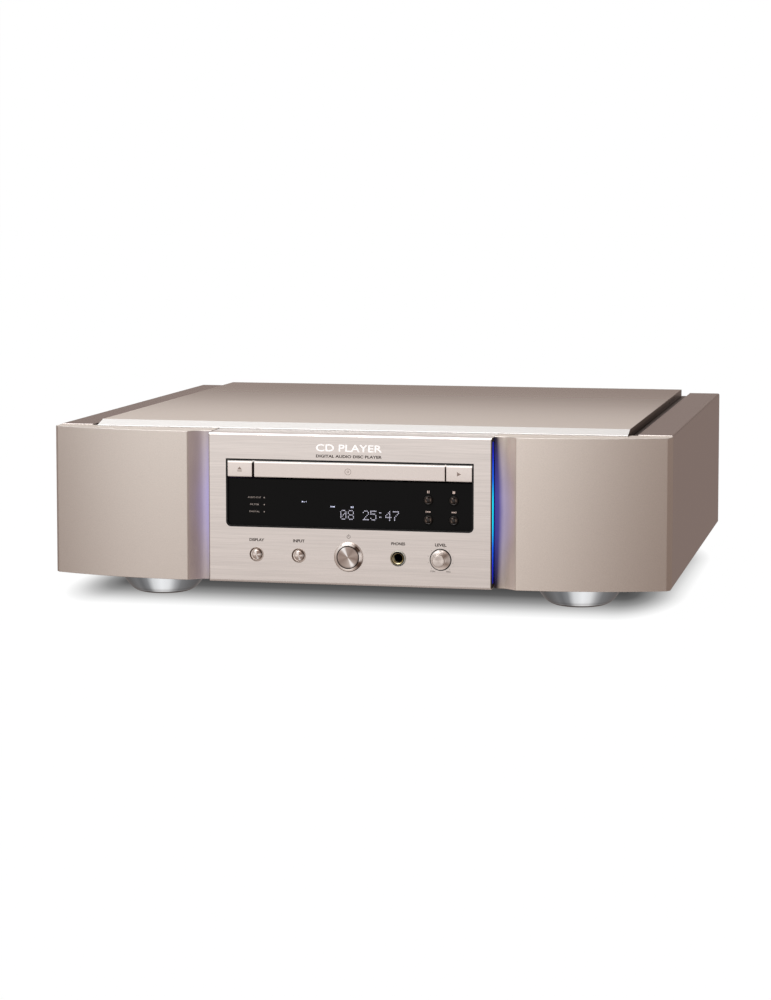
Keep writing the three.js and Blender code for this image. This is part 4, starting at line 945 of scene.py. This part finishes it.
# Headphone bush, with painted highlights on its ring and flange.
lathe(
    "phones_bush", "housing", "jack_fan", PHONES,
    [
        (3.2, -200.4), (3.25, -200.75), (3.45, -201.5), (3.8, -201.8), (4.3, -201.9), (4.6, -201.75),
        (4.6, -198), (3.2, -198),
    ],
)
lathe(
    "phones_flange", "housing", "flange_fan", PHONES,
    [(4.62, -201.0), (4.62, -201.93), (4.9, -201.92), (5.1, -201.8), (5.44, -201.5), (5.5, -201.05)],
)

# Level: a flared knob with painted highlights and a small pointer on its flange, with a black ring of
# painted shade round its foot.
lathe(
    "level_turned", "level", "level_fan", LEVEL,
    [
        (3.9, -208.9), (4.2, -208.9), (4.22, -208.8), (4.24, -206.6), (4.3, -205.4), (4.5, -204.5),
        (4.85, -203.75), (5.35, -203.1), (6.0, -202.55), (6.55, -202.3), (6.8, -202.15),
        (6.9, -201.85), (6.9, -194.5), (3, -194.5), (3, -199), (3.9, -199),
    ],
    replaces=["level_knob"],
)
lathe(
    "level_cap", "level", "knob_gold", LEVEL,
    [
        (0, -209.4), (2.4, -209.42), (3.6, -209.5), (3.95, -209.42), (4.16, -209.2), (4.22, -208.85),
        (4.0, -208.8), (4.0, -199.2), (0, -199.2),
    ],
)
marks(
    "level_pointer", "level", "dark_ink",
    [[(LEVEL[0] - 0.8, ROW + 6.6), (LEVEL[0] + 0.8, ROW + 6.6), (LEVEL[0], ROW + 4.9)]], -202.4, 0.16,
)
lathe(
    "level_gap_shade", "housing", "shade_black", LEVEL,
    [(6.95, -200.9), (6.95, -201.04), (7.62, -201.04), (7.62, -200.9)],
)


# ---------------------------------------------------------------- marks
knob_x = LEVEL[0]
ticks = []
for degrees in range(-45, 226, 30):
    a = math.radians(degrees)
    c, s = math.cos(a), math.sin(a)
    corners = ((8.6, 0.1), (9.2, 0.1), (9.2, -0.1), (8.6, -0.1))
    ticks.append([(knob_x + r * c - w * s, ROW + r * s + w * c) for r, w in corners])
marks("level_ticks", "housing", "dark_ink", ticks, PANEL)
power_sign = [stroke(0, 52.2, 1.05, 1.3, 120, 420), rectangle(0, 53.1, 0.26, 1.7)]
marks("power_sign", "housing", "dark_ink", power_sign, PANEL)
for control, at, width in (
    ("display", DOMED["display"], 10.6), ("input", DOMED["input"], 8.2), ("phones", PHONES, 9.8),
    ("level", LEVEL, 8.0),
):
    words(f"{control}_label", "dark_ink", control.upper(), at[0], 48.2, 1.9, width, PANEL, bold=0.09)
words("level_low_label", "dark_ink", "MIN", knob_x - 5.4, 29.9, 1.15, 3.1, PANEL)
words("level_high_label", "dark_ink", "MAX", knob_x + 5.4, 29.9, 1.15, 3.1, PANEL)
words("title", "white_ink", "CD PLAYER", 0, 113.3, 4.8, 46.5, PANEL, 0.12, 0.07)
words("title_line", "dark_ink", "DIGITAL AUDIO DISC PLAYER", 0, 107.7, 1.85, 46.5, PANEL, bold=0.08)

x, z = -77.9, 97.3
eject_sign = [[(x - 1.6, z - 0.2), (x + 1.6, z - 0.2), (x, z + 1.9)], rectangle(x, z - 1.2, 3.2, 0.55)]
marks("eject_sign", "eject", "soft_ink", eject_sign, BAR)
x = 77.0
marks("play_sign", "play", "soft_ink", [[(x - 1.1, z - 1.5), (x + 1.7, z), (x - 1.1, z + 1.5)]], BAR)
rings = ((2.0, 40), (0.55, 24))
disc_sign = [stroke(-0.6, 97.2, inner, inner + 0.25, 0, 360, steps) for inner, steps in rings]
marks("drawer_sign", "drawer", "soft_ink", disc_sign, BAR)

# Signs above the four small buttons.
signs = {
    "pause": [rectangle(-0.5, 0, 0.55, 1.8), rectangle(0.5, 0, 0.55, 1.8)],
    "stop": [rectangle(0, 0, 1.7, 1.7)],
}
for body, way in (("previous", -1), ("next", 1)):
    arrows = [[(way * (s - 1.45), -0.6), (way * (s - 0.1), 0), (way * (s - 1.45), 0.6)] for s in (0, 1.35)]
    signs[body] = [*arrows, rectangle(way * 1.55, 0, 0.4, 1.2)]
for body, outlines in signs.items():
    x, z = SMALL[body][0], SMALL[body][1] + 5.6
    placed = [[(x + across, z + up) for across, up in outline] for outline in outlines]
    marks(f"{body}_sign", "housing", "pale_ink", placed, GLASS)

# Display: dot-matrix digits, three rows of small words with lamps, and a few lit signs.
DIGITS = {
    "0": ("01110", "10001", "10011", "10101", "11001", "10001", "01110"),
    "1": ("00100", "01100", "00100", "00100", "00100", "00100", "01110"),
    "2": ("01110", "10001", "00001", "00010", "00100", "01000", "11111"),
    "4": ("00010", "00110", "01010", "10010", "11111", "00010", "00010"),
    "5": ("11111", "10000", "11110", "00001", "00001", "10001", "01110"),
    "7": ("11111", "00001", "00010", "00100", "01000", "01000", "01000"),
    "8": ("01110", "10001", "10001", "01110", "10001", "10001", "01110"),
    ":": ("00000", "01100", "00000", "00000", "01100", "00000", "00000"),
    " ": ("00000",) * 7,
}
dots = []
for place, digit in enumerate("08 25:47"):
    for row, cells in enumerate(DIGITS[digit]):
        for column, lit in enumerate(cells):
            if lit == "1":
                dots.append(rectangle(-5.9 + place * 5.3 + column * 0.9, 70.2 - row * 1.0, 0.5, 0.58))
marks("display_digits", "housing", "digit_light", dots, GLASS)
rows = ((77.7, "AUDIO OUT", 9.6), (72.8, "FILTER", 6.4), (67.8, "DIGITAL", 7.4))
for count, (z, text, width) in enumerate(rows):
    words(f"lamp_label_{count}", "dim_ink", text, -67.6, z, 1.05, width, GLASS)
marks("lamps", "housing", "dim_ink", [rectangle(-60.6, z, 0.7, 0.7) for z, _, _ in rows], GLASS)
marks(
    "display_signs", "housing", "lamp_light",
    [
        rectangle(-33.2, 75.6, 0.9, 0.8), rectangle(-32.0, 75.4, 0.5, 0.6), rectangle(-30.6, 75.6, 0.3, 0.8),
        rectangle(-12.9, 72.6, 0.5, 0.9), rectangle(-12.0, 72.6, 0.4, 0.9), rectangle(-10.8, 72.6, 1.1, 0.7),
        rectangle(1.5, 72.6, 0.6, 1.1), rectangle(2.7, 72.6, 0.6, 1.1),
    ],
    GLASS,
)


# ---------------------------------------------------------------- screws
def screws(name, places, face, outward, radius=2.9, axis="Y"):
    """Cross-headed screws: each a low dome with a dark cross let into it, the dark cross being painted shade
    for its recess.
    """
    rise = [(0, 1.25), (0.55, 1.15), (0.85, 0.8), (1, 0.3), (1, -0.2), (0, -0.2)]
    profile = [(radius * share, face + outward * h) for share, h in rise]
    near, far = sorted((face + outward * 1.0, face + outward * 1.3))
    crosses = []
    for x, z in places:
        for width, height in ((radius * 1.1, 0.55), (0.55, radius * 1.1)):
            points, faces = prism(rectangle(x, z, width, height), near, far)
            if axis == "Z":
                points = [(x, z, y) for x, y, z in points]
            crosses.append((points, faces))
    heads = [turned(profile, at, axis, 24) for at in places]
    solids(f"{name}_heads", heads, "bright_steel", smooth=40)
    solids(f"{name}_cross_shade", crosses, "shade_black")


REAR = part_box("rear_panel")[1].y / MM
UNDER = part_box("bottom_plate")[0].z / MM
INLET = middle("ac_inlet")[::2]
BALANCED_X, BALANCED_Z = (112, 150), 46
BALANCED_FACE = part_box("balanced_sockets")[1].y / MM
rear_places = [(x, z) for x in (-206, 206) for z in (26, 66, 106)]
rear_places += [(x, 118.5) for x in (-170, -85, 0, 85, 170)] + [(x, 23.5) for x in (-120, -40, 40, 120)]
screws("rear_screws", rear_places, REAR, 1)
socket_places = [(x + side * 9.6, BALANCED_Z - side * 12) for x in BALANCED_X for side in (-1, 1)]
screws("balanced_screws", socket_places, BALANCED_FACE, 1, 1.7)
inlet_places = [(INLET[0] + side * 19.5, INLET[1]) for side in (-1, 1)]
screws("inlet_screws", inlet_places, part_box("ac_inlet")[1].y / MM, 1, 2.0)
screws("digital_screws", [(3, 87), (3, 69)], REAR, 1, 1.8)
screws("phono_screws", [(131, 78)], REAR, 1, 1.8)
under_places = [(x, y) for x in (-204, 204) for y in (-150, -40, 70, 180)]
under_places += [(x, 185) for x in (-100, 0, 100)] + [(x, y) for x in (-60, 60) for y in (-180, -60)]
screws("under_screws", under_places, UNDER, -1, 3.0, "Z")

# ---------------------------------------------------------------- rear sockets
round_sockets = [
    (112, "red_plastic", "white_plastic"), (150, "white_plastic", "white_plastic"),
    (-30, "orange_plastic", "grey_plastic"), (-8, "orange_plastic", "grey_plastic"),
]
for count, (x, look, slot) in enumerate(round_sockets):
    at = (x, 78)
    lathe(
        f"socket_shell_{count}", "housing", "gold_plate", at,
        [
            (6.7, 198.0), (6.7, 199.7), (6.4, 200.1), (4.6, 200.2), (4.3, 200.5), (4.3, 208.9), (4.1, 209.3),
            (3.9, 209.4), (3.8, 209.3), (3.8, 206.9), (4.19, 206.8), (4.19, 198.0),
        ],
        steps=48,
    )
    lathe(
        f"socket_ring_{count}", "housing", look, at,
        [
            (3.79, 208.6), (3.6, 208.9), (2.2, 208.9), (2.0, 208.6), (2.0, 202.5), (3.39, 202.5),
            (3.39, 208.0), (3.79, 208.0),
        ],
        steps=48,
    )
    lathe(
        f"socket_collar_{count}", "housing", look, at,
        [(6.75, 197.9), (8.0, 197.9), (8.0, 198.5), (7.8, 198.7), (6.75, 198.7)], steps=48,
    )
for count, x in enumerate(BALANCED_X):
    lathe(
        f"balanced_bezel_{count}", "housing", "black_plastic", (x, BALANCED_Z),
        [
            (8.55, 186), (8.55, 199.9), (8.8, 200.2), (10.9, 200.2), (11.2, 199.9), (11.2, 199.55),
            (8.7, 199.5), (8.7, 186),
        ],
        steps=64,
    )
    pin = [(0, 194.2), (0.7, 194.1), (1.15, 193.6), (1.25, 193.0), (1.25, 183.5), (0, 183.5)]
    turns = [math.radians(degrees) for degrees in (90, 210, 330)]
    pin_places = [(x + 3.4 * math.cos(t), BALANCED_Z + 3.4 * math.sin(t)) for t in turns]
    pins = [turned(pin, at, "Y", 20) for at in pin_places]
    solids(f"balanced_pins_{count}", pins, "gold_plate", smooth=40)
    latch = prism(rectangle(x, 59.3, 6.4, 2.6), BALANCED_FACE - 0.1, 200.8)
    solids(f"balanced_latch_{count}", [latch], "bright_steel")
for count, x in enumerate((14, 36)):
    shutter = prism(rectangle(x, 78.2, 8.9, 7.9), 193.0, 193.8)
    solids(f"optical_shutter_{count}", [shutter], "grey_plastic")
blade_places = [(INLET[0] + dx, INLET[1] + dz) for dx, dz in ((-7, -2), (0, 3), (7, -2))]
blades = [prism(rectangle(x, z, 2.2, 5.4), 184.2, 194) for x, z in blade_places]
solids("inlet_blades", blades, "bright_steel")
for name, text, x, z, height, width in (
    ("rear_title", "COMPACT DISC PLAYER", -20, 104, 3.0, 62),
    ("analogue_label", "ANALOG OUT", 131, 92, 2.3, 26),
    ("unbalanced_left_label", "LEFT", 150, 68.5, 1.9, 7.4),
    ("unbalanced_right_label", "RIGHT", 112, 68.5, 1.9, 9.2),
    ("balanced_label", "BALANCED", 131, 64.2, 2.1, 20),
    ("digital_label", "DIGITAL", 3, 92, 2.3, 16),
    ("coaxial_label", "COAXIAL", -19, 66.5, 1.9, 14),
    ("optical_label", "OPTICAL", 25, 66.5, 1.9, 13),
    ("inlet_label", "AC IN", -165, 71, 2.3, 10),
):
    words(name, "dark_ink", text, x, z, height, width, REAR, bold=0.05, turn=math.pi)
frame_lines = (
    (131, 95.8, 70, 0.25), (131, 27.2, 70, 0.25), (166, 61.5, 0.25, 68.5), (96, 61.5, 0.25, 68.5),
    (3, 95.8, 92, 0.25), (3, 62.8, 92, 0.25), (-43, 79.3, 0.25, 33), (49, 79.3, 0.25, 33),
)
rear_frames = [prism(rectangle(*line), REAR, REAR + 0.06) for line in frame_lines]
solids("rear_frames", rear_frames, "dark_ink")

# ---------------------------------------------------------------- mechanism
PICKUP = (0, -96)
SPINDLE = middle("turntable")[:2]
lathe(
    "pickup_lens", "sled", "lens_glass", PICKUP,
    [(0, 94.15), (0.9, 94.05), (1.7, 93.75), (2.2, 93.3), (2.2, 93.0), (0, 93.0)], "Z", 40,
)
lathe(
    "pickup_collar", "sled", "white_plastic", PICKUP,
    [(2.25, 93.0), (2.3, 93.75), (2.6, 93.95), (3.3, 93.9), (3.55, 93.6), (3.55, 92.4), (3.3, 92.4)],
    "Z", 40,
)
lathe(
    "turntable_mat", "spindle", "rubber", SPINDLE,
    [(9.2, 98.1), (9.2, 98.32), (9.5, 98.45), (15.2, 98.45), (15.5, 98.3), (15.5, 98.1)], "Z", 72,
)
lathe(
    "turntable_magnet", "spindle", "bright_steel", SPINDLE,
    [(0, 100.32), (2.4, 100.32), (2.7, 100.1), (2.7, 99.9), (0, 99.9)], "Z", 40,
)
lathe(
    "clamp_cap", "clamp_puck", "grey_plastic", SPINDLE,
    [(0, 112.35), (5.4, 112.35), (5.8, 112.1), (5.8, 111.8), (0, 111.8)], "Z", 48,
)


# ---------------------------------------------------------------- studio
STUDIO_BASE = (0.262, 0.206, 0.185)
# Azimuth (0 is the front, 90 the right), elevation, degrees out to where it starts to fade and ends,
# colour and strength.
STUDIO_GLOWS = [
    (-20, 9, 2, 45, (0.96, 0.98, 0.995), 0.76),
    (-30, 74, 10, 50, (0.94, 0.98, 1.03), 0.5),
    (196, 38, 6, 27, (0.96, 0.99, 1.02), 0.52),
    (-10, -70, 10, 45, (1.0, 1.0, 1.0), 0.45),
]


def studio():
    """A plain warm surround with soft patches of light in it."""
    scene.world = bpy.data.worlds.new("studio")
    scene.world.use_nodes = True
    tree = scene.world.node_tree
    towards = add_node(tree, "ShaderNodeTexCoord").outputs["Generated"]

    def vector(operation, inputs):
        return add_node(tree, "ShaderNodeVectorMath", inputs, operation=operation).outputs

    total = STUDIO_BASE
    for azimuth, elevation, inner, outer, color, strength in STUDIO_GLOWS:
        a, e = math.radians(azimuth), math.radians(elevation)
        aim = (math.sin(a) * math.cos(e), -math.cos(a) * math.cos(e), math.sin(e))
        span = {
            "Value": vector("DOT_PRODUCT", {0: towards, 1: aim})["Value"],
            "From Min": math.cos(math.radians(outer)),
            "From Max": math.cos(math.radians(inner)),
        }
        share = add_node(tree, "ShaderNodeMapRange", span, interpolation_type="SMOOTHSTEP").outputs[0]
        paint = tuple(part * strength for part in color)
        lit = vector("SCALE", {0: paint, "Scale": share})[0]
        total = vector("ADD", {0: lit, 1: total})[0]
    tree.links.new(total, tree.nodes["Background"].inputs["Color"])


def softbox(name, location, aim, size, power, color=(1, 1, 1)):
    data = bpy.data.lights.new(name, "AREA")
    data.shape = "RECTANGLE"
    data.size, data.size_y = size
    data.energy = power
    data.color = color
    light = bpy.data.objects.new(name, data)
    light.location = location
    light.rotation_euler = (Vector(aim) - Vector(location)).to_track_quat("-Z", "Y").to_euler()
    light.visible_camera = False
    scene.collection.objects.link(light)


def pool_of_shade(paper):
    """From dark under the middle of the player out to white on the open floor."""
    flat = paper.vector("ABSOLUTE", paper.stretched(1, 1, 0, (-0.004, 0, 0)))
    beyond = paper.vector("MAXIMUM", paper.vector("SUBTRACT", flat, (0.182, 0.085, 0)))
    share = paper.vector("DIVIDE", beyond, (0.045, 0.115, 1))
    out = paper.node("ShaderNodeVectorMath", {0: share}, operation="LENGTH").outputs["Value"]
    return paper.ramp(out, [(0.0, 78), (0.2, 95), (0.45, 149), (0.64, 194), (0.83, 233), (1.0, 255)])


def sheet(name, corners, shade=None):
    """A stretch of white paper that gives its own light and casts none on the player."""
    data = bpy.data.meshes.new(name)
    data.from_pydata(corners, [], [(0, 1, 2, 3)])
    made = bpy.data.objects.new(name, data)
    scene.collection.objects.link(made)
    paper = Look(name + "_paper", 10, 1.0)
    paper.tint(paper.noise(paper.place, 3, 2), 0.9, 1.0)
    paper.shine(shade(paper) if shade else (1, 1, 1, 1), 1.0)
    paper.put("Specular IOR Level", 0.0)
    data.materials.append(paper.material)
    made.visible_glossy = False
    made.visible_diffuse = False


studio()
softbox("top_light", (-0.5, 0.1, 2.0), (0, 0, 0), (1.8, 1.8), 20, (0.94, 0.98, 1.0))
softbox("front_light", (-0.2, -0.75, 0.95), (0, -0.19, 0.1), (1.0, 0.4), 7)
REACH = 12
floor = [(-REACH, -REACH, 0), (REACH, -REACH, 0), (REACH, REACH, 0), (-REACH, REACH, 0)]
wall = [(-REACH, REACH, -1), (REACH, REACH, -1), (REACH, REACH, REACH), (-REACH, REACH, REACH)]
sheet("floor", floor, pool_of_shade)
sheet("backdrop", wall)
